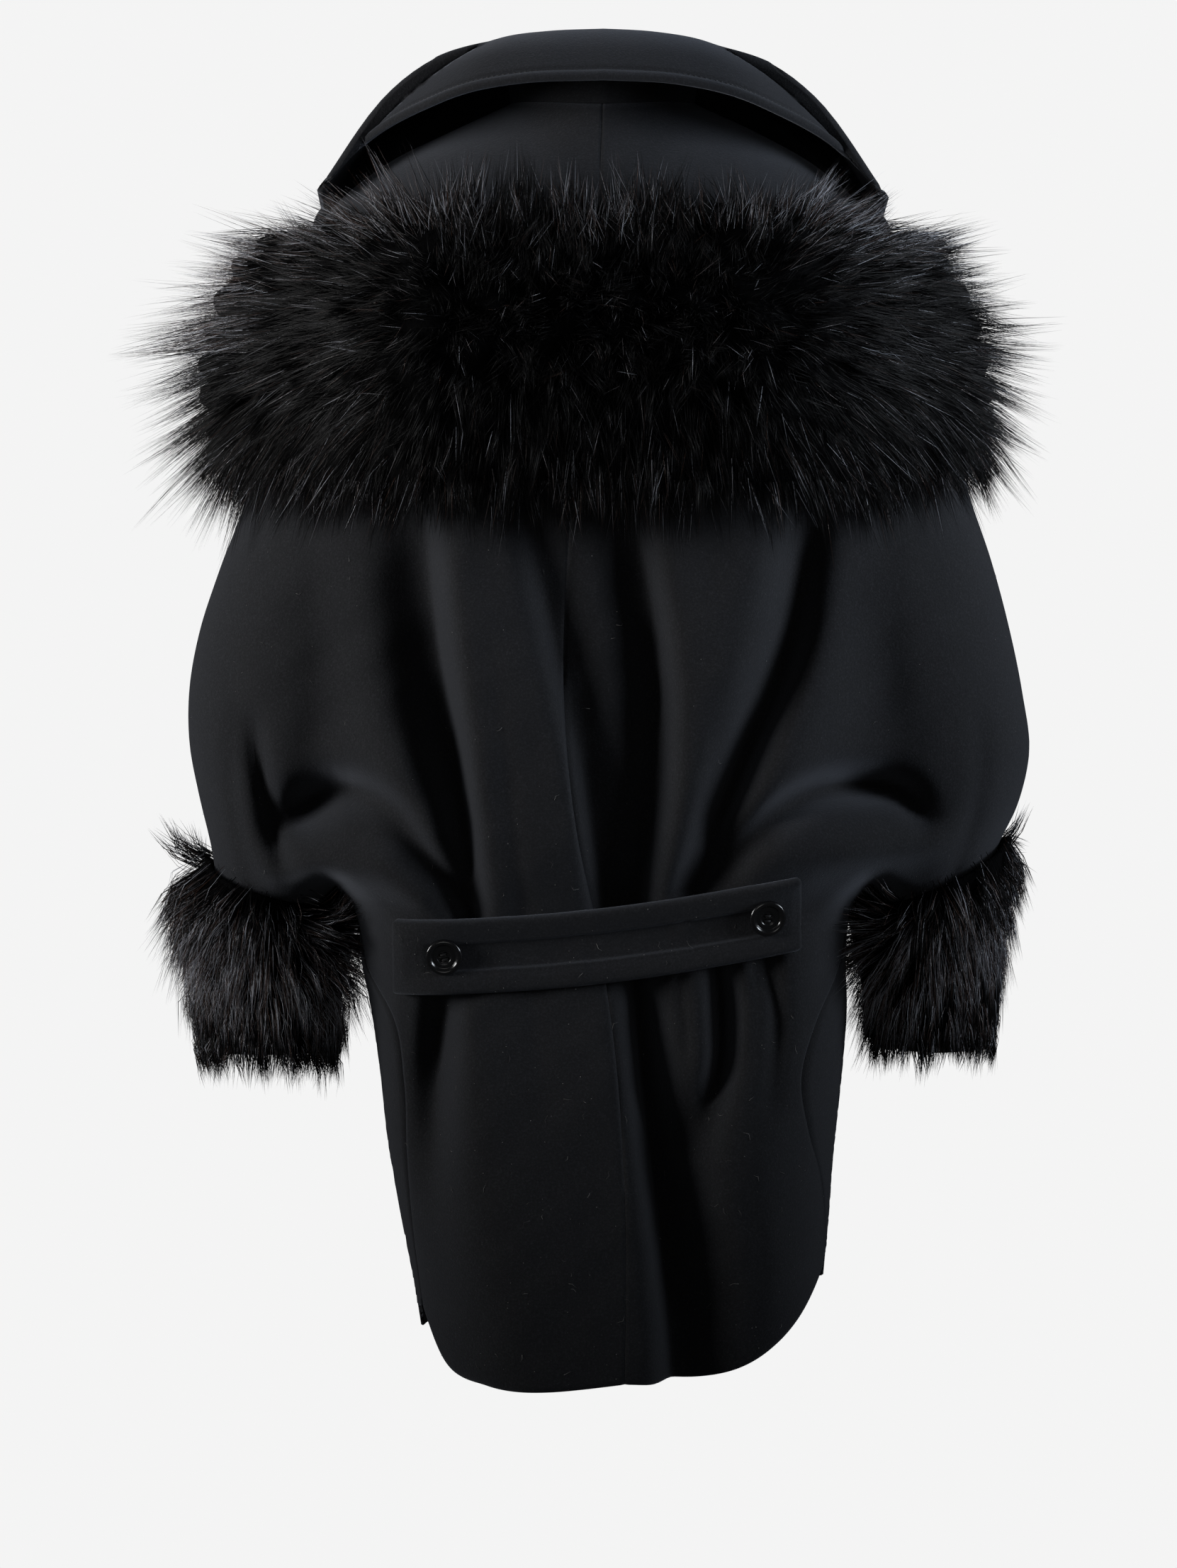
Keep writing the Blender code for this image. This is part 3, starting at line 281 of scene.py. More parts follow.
# %% Outlines
UNDERARM = (208, -612)  # where sleeve and body part, very low on this cut
OVERARM_COLUMNS = ("x", "z")
OVERARM = {
    LEFT: [
        (72, -4), (120, -26), (168, -50), (210, -84), (241, -132), (258, -190), (266, -245),
        (275, -301), (299, -366), (314, -411), (323, -460), (323, -500), (316, -540),
        (306, -585), (303, -612), (304, -640), (306, -680), (307, -738),
    ],
    RIGHT: [
        (72, -4), (120, -26), (166, -52), (206, -88), (238, -136), (258, -192), (272, -250),
        (285, -305), (302, -355), (316, -405), (328, -460), (334, -505), (326, -545),
        (308, -585), (302, -612), (301, -640), (300, -680), (300, -738),
    ],
}
# the body's outline below the arm, and how far the side seam lies in from it towards the back
SIDE_COLUMNS = ("z", "outline", "seam_in")
SIDE = {
    LEFT: [
        (-612, 208, 0), (-622, 198, 0), (-640, 191, 1), (-670, 188, 7), (-700, 182, 20),
        (-755, 174, 22), (-810, 168, 18), (-868, 158, 12), (-920, 148, 8), (-1000, 136, 6),
    ],
    RIGHT: [
        (-612, 208, 0), (-622, 198, 0), (-640, 192, 1), (-670, 190, 9), (-704, 191, 28),
        (-750, 188, 38), (-790, 184, 28), (-830, 180, 13), (-860, 178, 7), (-1000, 166, 4),
    ],
}
SLEEVE_INNER = [(208, -612), (219, -621), (226, -640), (228, -680), (228, -738)]
CENTRE_BACK_COLUMNS = ("z", "x")
CENTRE_BACK = [
    (0, 0), (-100, 4), (-220, 14), (-345, 26), (-480, 29), (-560, 20), (-640, 4), (-720, -8),
    (-830, -16), (-1000, -16),
]
HEM_COLUMNS = ("across", "z")
HEM = {
    (LEFT, "back"): [(0, -975), (0.3, -981), (0.6, -980), (0.85, -968), (1, -934)],
    (RIGHT, "back"): [(0, -975), (0.3, -976), (0.55, -963), (0.8, -936), (1, -903)],
    (LEFT, "front"): [(0, -976), (0.3, -977), (0.55, -966), (0.8, -941), (0.92, -933), (1, -925)],
    (RIGHT, "front"): [(0, -976), (0.3, -975), (0.55, -957), (0.8, -914), (0.92, -903), (1, -894)],
}
OUTER_LINE = {s: curve_through(OVERARM[s], 90) for s in (LEFT, RIGHT)}
SIDE_LINE = {s: curve_through([(r[1], r[0]) for r in SIDE[s]], 60) for s in (LEFT, RIGHT)}
SLEEVE_LINE = curve_through(SLEEVE_INNER, 30)

# %% Sections
# how far the cloth stands behind and before the seam plane over the body and over the arm, and
# the radius at which it turns round the over-arm line and the under-arm
SECTION_COLUMNS = ("z", "body_back", "body_front", "arm_back", "arm_front", "round_out", "round_body", "round_sleeve")
SECTION = [
    (0, 84, 46, 62, 46, 72, 28, 28),
    (-40, 106, 66, 74, 60, 86, 28, 28),
    (-100, 134, 98, 88, 76, 104, 28, 28),
    (-165, 150, 122, 94, 84, 110, 28, 28),
    (-250, 158, 140, 98, 88, 106, 28, 28),
    (-350, 160, 150, 102, 90, 100, 28, 28),
    (-450, 158, 153, 104, 90, 94, 28, 28),
    (-530, 154, 152, 104, 86, 84, 28, 28),
    (-580, 146, 150, 98, 80, 66, 28, 28),
    (-612, 132, 148, 78, 66, 50, 30, 30),
    (-640, 122, 145, 56, 54, 40, 50, 38),
    (-680, 126, 142, 51, 50, 40, 74, 40),
    (-740, 137, 143, 50, 49, 40, 92, 40),
    (-820, 146, 146, 50, 48, 40, 98, 40),
    (-1000, 152, 150, 50, 48, 40, 100, 40),
]
ARM_FORWARD = 16  # the arms hang this far before the side seams
WAIST_SLANT = 0.11  # the belt draws the back in along a slanting line
OVERLAP_LIFT = 4.4  # the right front lies over the left one
FRONT_OVERLAP = 28

# %% Folds
# Each row of a fold is a place on its line, how deep the cloth goes in there (a swell is less
# than 0), and the trough's width towards the coat's left and towards its right.
FOLD_COLUMNS = ("x", "z", "depth", "left", "right")
BACK_FOLDS = {
    "valley_left": [
        (140, -250, 0, 34, 16), (134, -330, 29, 34, 13), (124, -440, 44, 34, 12), (112, -500, 43, 28, 10),
        (103, -560, 34, 20, 9), (97, -625, 20, 15, 9), (98, -672, 10, 14, 9),
    ],
    "ridge_right_edge": [
        (60, -250, 0, 14, 44), (52, -340, 15, 12, 44), (38, -400, 18, 11, 44), (24, -465, 21, 10, 42),
        (12, -520, 23, 9, 36), (2, -590, 23, 9, 28), (-4, -660, 18, 9, 20),
    ],
    "valley_middle": [
        (-18, -250, 0, 30, 14), (-24, -330, 18, 30, 12), (-36, -400, 25, 28, 11), (-42, -465, 29, 26, 11),
        (-39, -540, 28, 22, 11), (-29, -605, 22, 18, 11), (-26, -660, 22, 14, 12),
    ],
    "valley_right": [
        (-158, -250, 0, 22, 20), (-150, -338, 27, 24, 20), (-137, -428, 36, 24, 17), (-110, -498, 35, 20, 14),
        (-84, -561, 27, 15, 12), (-66, -605, 16, 12, 10),
    ],
    "arch_right": [
        (-76, -612, 7, 12, 10), (-100, -578, 15, 12, 11), (-130, -549, 19, 13, 13), (-162, -532, 27, 13, 15),
        (-195, -528, 36, 13, 15), (-226, -533, 30, 12, 14), (-246, -552, 11, 12, 12),
    ],
    "pouch_right": [
        (-120, -582, -4, 16, 16), (-165, -580, -14, 18, 22), (-205, -576, -18, 20, 24),
        (-245, -568, -8, 18, 20),
    ],
    "pocket_left": [
        (250, -560, 8, 14, 14), (228, -545, 38, 16, 18), (200, -531, 31, 18, 16), (165, -540, 18, 18, 14),
        (134, -576, 17, 16, 12), (106, -622, 10, 12, 10),
    ],
    "pouch_left": [
        (248, -592, -8, 14, 16), (212, -588, -16, 18, 20), (172, -590, -12, 18, 18), (140, -606, -4, 14, 14),
    ],
    "dimple_left": [(268, -470, 2, 9, 9), (264, -505, 12, 8, 9), (257, -545, 14, 8, 9), (246, -585, 7, 8, 9)],
    "hollow_left": [
        (118, -676, 18, 18, 12), (126, -735, 42, 22, 14), (130, -785, 38, 22, 16), (134, -850, 18, 20, 20),
        (136, -930, 6, 18, 22),
    ],
    "vent_valley": [
        (-24, -668, 25, 12, 18), (-30, -740, 41, 11, 24), (-36, -800, 44, 10, 34), (-46, -880, 40, 10, 46),
        (-56, -1000, 32, 12, 58),
    ],
    "notch_right": [
        (-84, -640, 13, 10, 12), (-90, -690, 31, 11, 13), (-90, -730, 31, 11, 13), (-82, -770, 16, 14, 14),
        (-70, -810, 0, 16, 16),
    ],
    "side_gather_right": [(-124, -650, 9, 9, 9), (-130, -700, 10, 9, 9), (-126, -760, 4, 12, 10)],
}
# the fronts, with x counted outwards from the middle on both sides
FRONT_FOLDS = {
    "drape_outer": [
        (150, -280, 0, 22, 22), (146, -380, 14, 24, 20), (136, -480, 18, 24, 18), (126, -570, 12, 20, 16),
        (120, -660, 8, 18, 16), (122, -780, 12, 20, 18), (124, -960, 8, 24, 24),
    ],
    "drape_inner": [
        (84, -420, 0, 16, 18), (82, -520, 9, 16, 18), (80, -640, 10, 16, 18), (78, -780, 11, 18, 20),
        (76, -980, 9, 22, 24),
    ],
    "arch": [
        (120, -575, 5, 12, 12), (150, -548, 11, 12, 14), (188, -534, 18, 12, 15), (226, -536, 16, 12, 14),
        (248, -556, 6, 12, 12),
    ],
    "pouch": [(130, -592, -3, 14, 16), (170, -586, -7, 18, 20), (210, -580, -9, 20, 22), (248, -574, -4, 18, 20)],
}
# creases too small for the solids
BACK_CREASES = {
    "seam_allowance": [
        (17, -440, 0, 3, 5), (13, -480, 0.9, 2.5, 5), (11, -540, 0.9, 2.5, 5), (10, -600, 0.6, 2.5, 5),
    ],
    "pocket_to_belt": [(160, -556, 0, 5, 8), (134, -580, 3, 4, 9), (112, -606, 4, 4, 8), (98, -630, 3, 4, 6)],
    "pull_right": [
        (-72, -600, 3, 6, 4), (-96, -566, 4, 7, 4), (-130, -536, 4, 8, 5), (-170, -516, 2, 9, 7),
        (-205, -508, 0, 9, 9),
    ],
    "pull_middle_right": [(-56, -606, 2, 5, 5), (-70, -560, 3, 6, 6), (-82, -500, 2, 8, 8), (-92, -440, 0, 9, 9)],
    "gather_under_belt_1": [(-56, -650, 2, 5, 6), (-62, -700, 4, 5, 6), (-66, -750, 3, 6, 7), (-62, -800, 0, 7, 8)],
    "gather_under_belt_2": [
        (-112, -640, 3, 5, 5), (-116, -690, 4, 5, 5), (-112, -740, 2, 6, 6), (-104, -780, 0, 6, 7),
    ],
    "gather_left": [(148, -676, 2, 5, 5), (152, -720, 3, 5, 6), (150, -780, 0, 7, 7)],
    "ridge_soft_left": [
        (84, -400, 0, 8, 8), (74, -500, 1.6, 8, 8), (62, -600, 1.8, 8, 8), (50, -720, 1.2, 9, 9),
        (38, -860, 0, 10, 10),
    ],
    "sleeve_pull_left": [(276, -440, 0, 8, 8), (284, -500, 3, 6, 8), (280, -560, 4, 6, 8), (270, -600, 2, 6, 8)],
    "sleeve_pull_right": [(-284, -450, 0, 8, 8), (-290, -510, 3, 8, 6), (-282, -560, 4, 8, 6), (-268, -600, 2, 8, 6)],
    "hip_sweep_right": [
        (-100, -800, 0, 8, 8), (-112, -850, 1.8, 9, 9), (-118, -910, 1.4, 10, 10), (-112, -960, 0, 10, 10),
    ],
}
LEAST_FOLD = 7.0
FOLD_GAIN = 1.18  # the solids' folds are softer than the cloth's
BACK_LINES = [curve_through(rows, 26) for rows in {**BACK_FOLDS, **BACK_CREASES}.values()]
FRONT_LINES = [curve_through(rows, 26) for rows in FRONT_FOLDS.values()]
print("folds:", len(BACK_LINES), "behind and", len(FRONT_LINES), "on each front")

# %% Distance from a line, and the depth of a fold
def nearest(line, x, z):
    """The line's nearest place to each point: distance, side (1 on the left hand of one who goes
    along it, -1 on the right) and the row's values there."""
    shape = np.shape(x)
    p = np.stack([np.ravel(x), np.ravel(z)], axis=1)
    a, d = line[:-1, :2], line[1:, :2] - line[:-1, :2]
    t = np.clip(((p[:, None] - a) * d).sum(2) / (d**2).sum(1), 0, 1)
    q = a + t[..., None] * d
    far = np.linalg.norm(p[:, None] - q, axis=2)
    i, k = far.argmin(axis=1), np.arange(len(p))
    at = t[k, i][:, None]
    values = line[i] * (1 - at) + line[i + 1] * at
    away = p - q[k, i]
    cross = d[i, 0] * away[:, 1] - d[i, 1] * away[:, 0]
    side = cross / np.maximum(np.linalg.norm(d[i], axis=1) * far[k, i], 1e-9)
    return far[k, i].reshape(shape), side.reshape(shape), values.reshape(shape + (-1,))


def fold(line, x, z):
    """A trough across the line: depth * exp(-(distance / width)^2)."""
    far, side, row = nearest(line, x, z)
    depth, left, right = row[..., 2], row[..., 3], row[..., 4]
    least = np.minimum(LEAST_FOLD, np.maximum(left, right))
    width = np.maximum((left + right) / 2 + side * (left - right) / 2, least)
    return depth * np.exp(-((far / width) ** 2))

# %% The surface itself
def section(name, z):
    return column(SECTION, SECTION_COLUMNS, name, z)


def soft_waves(x, z):
    """Felted wool never lies quite smooth: three crossing waves, some 60 mm long, under 1 mm."""
    return (
        0.5 * np.sin(x / 13.0 + 1.7 * np.sin(z / 41.0))
        + 0.4 * np.sin(z / 17.0 + 1.3 * np.sin(x / 29.0) + 2.0)
        + 0.3 * np.sin((x + z) / 9.0 + 0.8 * np.sin(z / 23.0) + 4.0)
    )


def stand_off(side, face, x, z, folds=True):
    """How far the cloth of one half stands off the seam plane; x counts outwards."""
    x, z = np.asarray(x, float), np.asarray(z, float)
    waist = z + WAIST_SLANT * x * side * ease((-480 - z) / 60) * (face == "back") * ease((230 - x) / 90)
    body, arm = section("body_" + face, waist), section("arm_" + face, z)
    below = ease((UNDERARM[1] - z) / 50)
    over_arm = ease((x - 112) / 112)
    is_sleeve = x > UNDERARM[0]
    over_arm = np.where(is_sleeve, over_arm + (1 - over_arm) * below, over_arm * (1 - below))
    depth = body + (arm - body) * over_arm
    out = turn(nearest(OUTER_LINE[side], np.abs(x), z)[0] / section("round_out", z))
    to_body = turn(nearest(SIDE_LINE[side], np.abs(x), z)[0] / section("round_body", z))
    to_sleeve = turn(nearest(SLEEVE_LINE, x, z)[0] / section("round_sleeve", z))
    inner = np.where(is_sleeve, to_sleeve, to_body)
    out = np.where(is_sleeve, out, out + (1 - out) * below)
    depth = depth * out * inner
    if folds:
        lines, fx = (BACK_LINES, x * side) if face == "back" else (FRONT_LINES, x)
        inward = sum(fold(line, fx, z) for line in lines) - soft_waves(x * side, z)
        depth = depth - FOLD_GAIN * inward * np.clip(out * inner, 0, 1) ** 2
    if face == "front" and side == RIGHT:
        depth = depth + OVERLAP_LIFT * (1 - ease((x - 70) / 50))
    return depth


def seam_plane(x, z):
    return -ARM_FORWARD * ease((np.asarray(x, float) - 150) / 110) * ease((-330 - np.asarray(z, float)) / 280)


def place(side, face, x, z, folds=True):
    """The middle of the cloth at x (outwards) and z, in the coat's frame."""
    x, z = np.broadcast_arrays(np.asarray(x, float), np.asarray(z, float))
    y = seam_plane(x, z) + (1 if face == "back" else -1) * stand_off(side, face, x, z, folds)
    return np.stack([x * side, y, z], axis=-1)

# %% [markdown]
# ## Black wool cloth
# The cloth is a dense, felted coating: no weave shows, only a short nap that catches light at
# a glance, and a faint mottle. Noise of three sizes makes it: the nap as bump and as a change of
# tone, and a slow mottle. Sheen gives the soft light rim of a napped cloth.

# %% A kit for materials
def new_material(name, colour, roughness):
    material = bpy.data.materials.new(name)
    material.use_nodes = True
    shader = material.node_tree.nodes["Principled BSDF"]
    shader.inputs["Base Color"].default_value = (*colour, 1)
    shader.inputs["Roughness"].default_value = roughness
    return material, material.node_tree.nodes, material.node_tree.links, shader


def noise(nodes, links, scale, detail=2.0, roughness=0.5, stretch=(1, 1, 1)):
    """Noise in Object coordinates: scale is in features per metre."""
    where, size = nodes.new("ShaderNodeTexCoord"), nodes.new("ShaderNodeMapping")
    texture = nodes.new("ShaderNodeTexNoise")
    size.inputs["Scale"].default_value = stretch
    texture.inputs["Scale"].default_value = scale
    texture.inputs["Detail"].default_value = detail
    texture.inputs["Roughness"].default_value = roughness
    links.new(where.outputs["Object"], size.inputs["Vector"])
    links.new(size.outputs["Vector"], texture.inputs["Vector"])
    return texture.outputs["Fac"]


def ramp(nodes, links, value, stops):
    """Turns a value into colours, one stop for each (place, colour)."""
    node = nodes.new("ShaderNodeValToRGB")
    while len(node.color_ramp.elements) < len(stops):
        node.color_ramp.elements.new(0.5)
    for element, (at, colour) in zip(node.color_ramp.elements, stops):
        element.position = at
        element.color = (*colour, 1)
    links.new(value, node.inputs["Fac"])
    return node.outputs["Color"]


def blend_colours(nodes, links, how, first, second, share):
    mix = nodes.new("ShaderNodeMix")
    mix.data_type, mix.blend_type = "RGBA", how
    mix.inputs["Factor"].default_value = share
    links.new(first, mix.inputs["A"])
    links.new(second, mix.inputs["B"])
    return mix.outputs["Result"]


def bumps(nodes, links, shader, layers):
    """Chains bump nodes, one for each (value, strength, height in metres)."""
    before = None
    for value, strength, height in layers:
        bump = nodes.new("ShaderNodeBump")
        bump.inputs["Strength"].default_value = strength
        bump.inputs["Distance"].default_value = height
        links.new(value, bump.inputs["Height"])
        if before is not None:
            links.new(before, bump.inputs["Normal"])
        before = bump.outputs["Normal"]
    links.new(before, shader.inputs["Normal"])

# %% Wool
wool, nodes, links, shader = new_material("felted_black_wool", (0.012, 0.013, 0.020), 0.86)
nap = noise(nodes, links, 620, 3, 0.75)
fibre, mottle = noise(nodes, links, 2600, 2), noise(nodes, links, 34, 4, 0.6)
NAP_TONES = [
    (0.34, (0.0022, 0.0022, 0.0026)), (0.52, (0.0058, 0.0059, 0.0068)),
    (0.68, (0.0150, 0.0152, 0.0172)), (0.80, (0.034, 0.034, 0.038)),
]
tone = ramp(nodes, links, nap, NAP_TONES)
shade = ramp(nodes, links, mottle, [(0.35, (0.80, 0.80, 0.84)), (0.65, (1.0, 1.0, 1.0))])
links.new(blend_colours(nodes, links, "MULTIPLY", tone, shade, 1.0), shader.inputs["Base Color"])
shader.inputs["Specular IOR Level"].default_value = 0.22
shader.inputs["Sheen Weight"].default_value = 0.15
shader.inputs["Sheen Roughness"].default_value = 0.55
shader.inputs["Sheen Tint"].default_value = (0.80, 0.86, 1.0, 1)
bumps(nodes, links, shader, [(mottle, 0.25, 0.0012), (nap, 0.70, 0.0006), (fibre, 0.30, 0.0002)])
print("wool:", len(nodes), "nodes")

# %% [markdown]
# ## Four panels of cloth
# The coat is cut in two backs and two fronts, with the sleeves in one with them. Each panel is
# three grids that share their edges: the upper body with the arm, the body's leg down to the
# hem, and the sleeve's leg. The grids come from the surface above, so neighbours meet at their
# seams, where both are drawn in a little, as stitches do.

# %% Grids of a panel
ROWS_UP = np.r_[np.linspace(0, 0.95, 120), np.linspace(0.955, 1, 9)]
ROWS_LEG = np.r_[0.004, 0.009, 0.016, 0.025, np.linspace(0.034, 1, 92)]
ROWS_SLEEVE = np.r_[0.02, 0.05, 0.09, 0.14, np.linspace(0.2, 1, 22)]
COLUMNS = {"back": (57, 32), "front": (38, 24)}  # up to the under-arm, and from there over the arm
NECK_BACK_Z, NECK_SIDE_Z, NECK_FRONT_Z, NECK_HALF_WIDTH = -12, -4, -165, 72
SLEEVE_END_Z = -738


def middle(side, face, z):
    if face == "back":
        return side * column(CENTRE_BACK, CENTRE_BACK_COLUMNS, "x", z)
    return np.full(np.shape(z), -float(FRONT_OVERLAP))


def side_seam(side, x, z):
    """Places on the side seam. Just below the under-arm it lies on the seam plane itself."""
    p = place(side, "back", x, z)
    behind = ease((UNDERARM[1] - 12 - z) / 25)
    p[..., 1] = seam_plane(x, z) * (1 - behind) + p[..., 1] * behind
    return p


def upper_grid(side, face):
    """Rows from the neck to the under-arm; columns from the middle to the over-arm line."""
    inner, outer = COLUMNS[face]
    v = ROWS_UP[:, None]
    t_in, t_out = np.arange(inner + 1) / inner, np.arange(1, outer + 1) / outer
    line = OUTER_LINE[side][OUTER_LINE[side][:, 1] >= UNDERARM[1] - 0.5]
    length = run_along(line[:, :2])
    xo, zo = (np.interp(v, length / length[-1], line[:, k]) for k in (0, 1))
    zo[-1] = UNDERARM[1]
    top = {"back": NECK_BACK_Z, "front": NECK_FRONT_Z}[face]
    zm = top + (UNDERARM[1] - top) * v
    xm = middle(side, face, zm)
    slit = 0.6 + ((UNDERARM[0] - xm) / (xo - xm) - 0.6) * ease(v * 1.4 - 0.4)
    share = np.hstack([t_in * slit, slit + (1 - slit) * np.sin(t_out * math.pi / 2)])
    return place(side, face, xm + (xo - xm) * share, zm + (zo - zm) * share ** (1.6 if face == "back" else 1.0))


def back_leg_grid(side):
    """Rows down to the hem; columns from the centre back to the side seam."""
    inner = COLUMNS["back"][0]
    t, w = np.arange(inner + 1) / inner, ROWS_LEG[:, None]
    hem = HEM[(side, "back")]
    z = UNDERARM[1] + (smooth(t, *zip(*hem)) - UNDERARM[1]) * w
    seam_x = (column(SIDE[side], SIDE_COLUMNS, "outline", z) - column(SIDE[side], SIDE_COLUMNS, "seam_in", z))[:, -1:]
    xm = middle(side, "back", z)
    bunch = 0.35 * ease(w * 8)
    grid = place(side, "back", xm + (seam_x - xm) * ((1 - bunch) * t + bunch * np.sin(t * math.pi / 2)), z)
    grid[:, -1] = side_seam(side, seam_x[:, 0], z[:, -1])
    return grid


def front_leg_row(side, w):
    """One row of a front: by length along the front, round the side and on to the seam."""
    inner = COLUMNS["front"][0]
    t = np.arange(inner + 1) / inner
    z = UNDERARM[1] + (smooth(t, *zip(*HEM[(side, "front")])) - UNDERARM[1]) * w
    outline = column(SIDE[side], SIDE_COLUMNS, "outline", z)
    seam_x = outline[-1] - column(SIDE[side], SIDE_COLUMNS, "seam_in", z[-1])
    q = np.linspace(0, 1, 80)
    level, far = float(z.mean()), outline[-1]
    front_x = -FRONT_OVERLAP + (far + FRONT_OVERLAP) * np.sin(q * math.pi / 2)
    x_all = np.r_[front_x, far - (far - seam_x) * q[1:] ** 2]
    is_behind = np.arange(len(x_all)) >= len(front_x)
    y_all = np.where(
        is_behind,
        place(side, "back", x_all, level, False)[:, 1],
        place(side, "front", x_all, level, False)[:, 1],
    )
    run = np.r_[0, np.cumsum(np.hypot(np.diff(x_all), np.diff(y_all)))]
    turned = run[len(front_x) - 1]
    # just below the under-arm the columns still stand as they do above it
    above = np.interp(-FRONT_OVERLAP + (far + FRONT_OVERLAP) * t, front_x, run[: len(front_x)])
    above = above + (run[-1] - turned) * t**4
    below = ease(w / 0.11)
    at = (1 - below) * above + below * t * run[-1]
    at[-1] = run[-1]
    x = np.minimum(np.interp(at, run, x_all) + (outline - far) * ease(t * 1.5), outline)
    x[-1] = seam_x
    row = np.where((at > turned)[:, None], place(side, "back", x, z), place(side, "front", x, z))
    row[-1] = side_seam(side, seam_x, z[-1])
    return row


def sleeve_grid(side, face):
    """Rows down to the sleeve's end; columns from its inner seam to its outer one."""
    outer = COLUMNS[face][1]
    t, w = np.r_[0, np.arange(1, outer + 1) / outer], ROWS_SLEEVE[:, None]
    z = UNDERARM[1] + (SLEEVE_END_Z - UNDERARM[1]) * w
    xi = np.interp(-z, -SLEEVE_LINE[:, 1], SLEEVE_LINE[:, 0])
    xo = np.interp(-z, -OUTER_LINE[side][:, 1], OUTER_LINE[side][:, 0])
    both = ease(w * 5)
    share = (1 - both) * np.sin(t * math.pi / 2) + both * (1 - np.cos(t * math.pi)) / 2
    return place(side, face, xi + (xo - xi) * share, z)

# %% A panel and its seams
PANELS = {
    "back_left": (LEFT, "back"),
    "back_right": (RIGHT, "back"),
    "front_left": (LEFT, "front"),
    "front_right": (RIGHT, "front"),
}


def panel(side, face):
    """Points, faces, and for each seam the numbers of its points and of those beside them."""
    inner = COLUMNS[face][0]
    up = upper_grid(side, face)
    leg = back_leg_grid(side) if face == "back" else np.array([front_leg_row(side, w) for w in ROWS_LEG])
    sleeve = sleeve_grid(side, face)
    grids, numbers, first = (up, leg, sleeve), [], 0
    for grid in grids:
        numbers.append(first + np.arange(grid.shape[0] * grid.shape[1]).reshape(grid.shape[:2]))
        first += grid.shape[0] * grid.shape[1]
    n_up, n_leg, n_sleeve = numbers
    body = np.vstack([n_up[-1:, : inner + 1], n_leg])
    arm = np.vstack([n_up[-1:, inner:], n_sleeve])
    faces = np.vstack([grid_faces(n) for n in (n_up, body, arm)])
    if (face == "back") != (side == LEFT):
        faces = faces[:, ::-1]
    seams = {
        ("over arm", side): (np.r_[n_up[:, -1], n_sleeve[:, -1]], np.r_[n_up[:, -2], n_sleeve[:, -2]]),
        ("side", side): (n_leg[:, -1], n_leg[:, -2]),
        ("sleeve", side): (n_sleeve[:, 0], n_sleeve[:, 1]),
        ("under arm", side): (n_up[-1:, inner], n_up[-2:-1, inner]),
    }
    if face == "back":
        seams[("centre back",)] = (np.r_[n_up[:, 0], n_leg[:, 0]], np.r_[n_up[:, 1], n_leg[:, 1]])
    return np.vstack([g.reshape(-1, 3) for g in grids]), faces, seams

# %% Sew them
SEAM_PULL, SIDE_PULL = 0.9, 0.3  # how far stitches draw the cloth in; side seams are pressed flat
EDGE_BULGE = 1.1  # a turned edge is round
VENT_TOP_Z = -829


def sewn_panels():
    """All panels with one shared direction along each seam, drawn in and parted by a hair."""
    made = {name: panel(*which) for name, which in PANELS.items()}
    normals = {name: normals_of(p, f) for name, (p, f, _) in made.items()}
    points = {name: p.copy() for name, (p, _, _) in made.items()}
    bulge = {name: np.full(len(p), EDGE_BULGE) for name, (p, _, _) in made.items()}
    shared = {}
    for name, (_, _, seams) in made.items():
        for key, (edge, beside) in seams.items():
            shared.setdefault(key, []).append((name, edge, beside))
    for key, group in shared.items():
        n = unit(sum(normals[name][edge] for name, edge, _ in group))
        ways = []
        for name, edge, beside in group:
            normals[name][edge] = n
            p = made[name][0]
            way = p[beside] - p[edge]
            ways.append(unit(way - n * (way * n).sum(1, keepdims=True)))
        open_vent = made[group[0][0]][0][group[0][1]][:, 2] < VENT_TOP_Z
        open_vent &= key[0] == "centre back"
        apart = unit(ways[0] - ways[-1]) * (SEAM_GAP / 2 * open_vent)[:, None]
        pull = np.where(open_vent, 0.0, SEAM_PULL if key[0] == "centre back" else SIDE_PULL)[:, None]
        for (name, edge, beside), sign in zip(group, (1, -1)):
            points[name][edge] += apart * sign - n * pull
            points[name][beside] -= n * pull * 0.35
            bulge[name][edge[~open_vent]] = 0.0
    return {name: (points[name], normals[name], made[name][1], bulge[name]) for name in made}


cloth, skin = {}, {}
for name, (points, normals, faces, bulge) in sewn_panels().items():
    skin[name] = points + normals * WALL / 2, normals
    points, faces = wall(points, normals, faces, WALL / 2, -WALL / 2, bulge)
    cloth[name] = add_piece(name + "_cloth", points, faces, wool, "black_wool", [name])

# %% [markdown]
# ## The vent
# Below the middle of the back the two backs are not joined: the left one lies over the right
# one, which runs on under it. This strip is the part that runs on.

# %% The underlap of the vent
UNDERLAP, UNDERLAP_DEPTH = 42, 4.6

across, below = np.linspace(-6, UNDERLAP, 14)[None, :], np.linspace(VENT_TOP_Z + 12, -972, 40)[:, None]
x = column(CENTRE_BACK, CENTRE_BACK_COLUMNS, "x", below) + across
strip = place(LEFT, "back", x, below) - (0, UNDERLAP_DEPTH, 0)
strip_faces = faces_over(strip)
strip_normals = normals_of(strip.reshape(-1, 3), strip_faces)
if strip_normals[:, 1].mean() < 0:
    strip_faces, strip_normals = strip_faces[:, ::-1], -strip_normals
points, faces = wall(strip.reshape(-1, 3), strip_normals, strip_faces, 1.2, -1.2, 0.8)
cloth["vent_underlap"] = add_piece("vent_underlap", points, faces, wool, "black_wool")

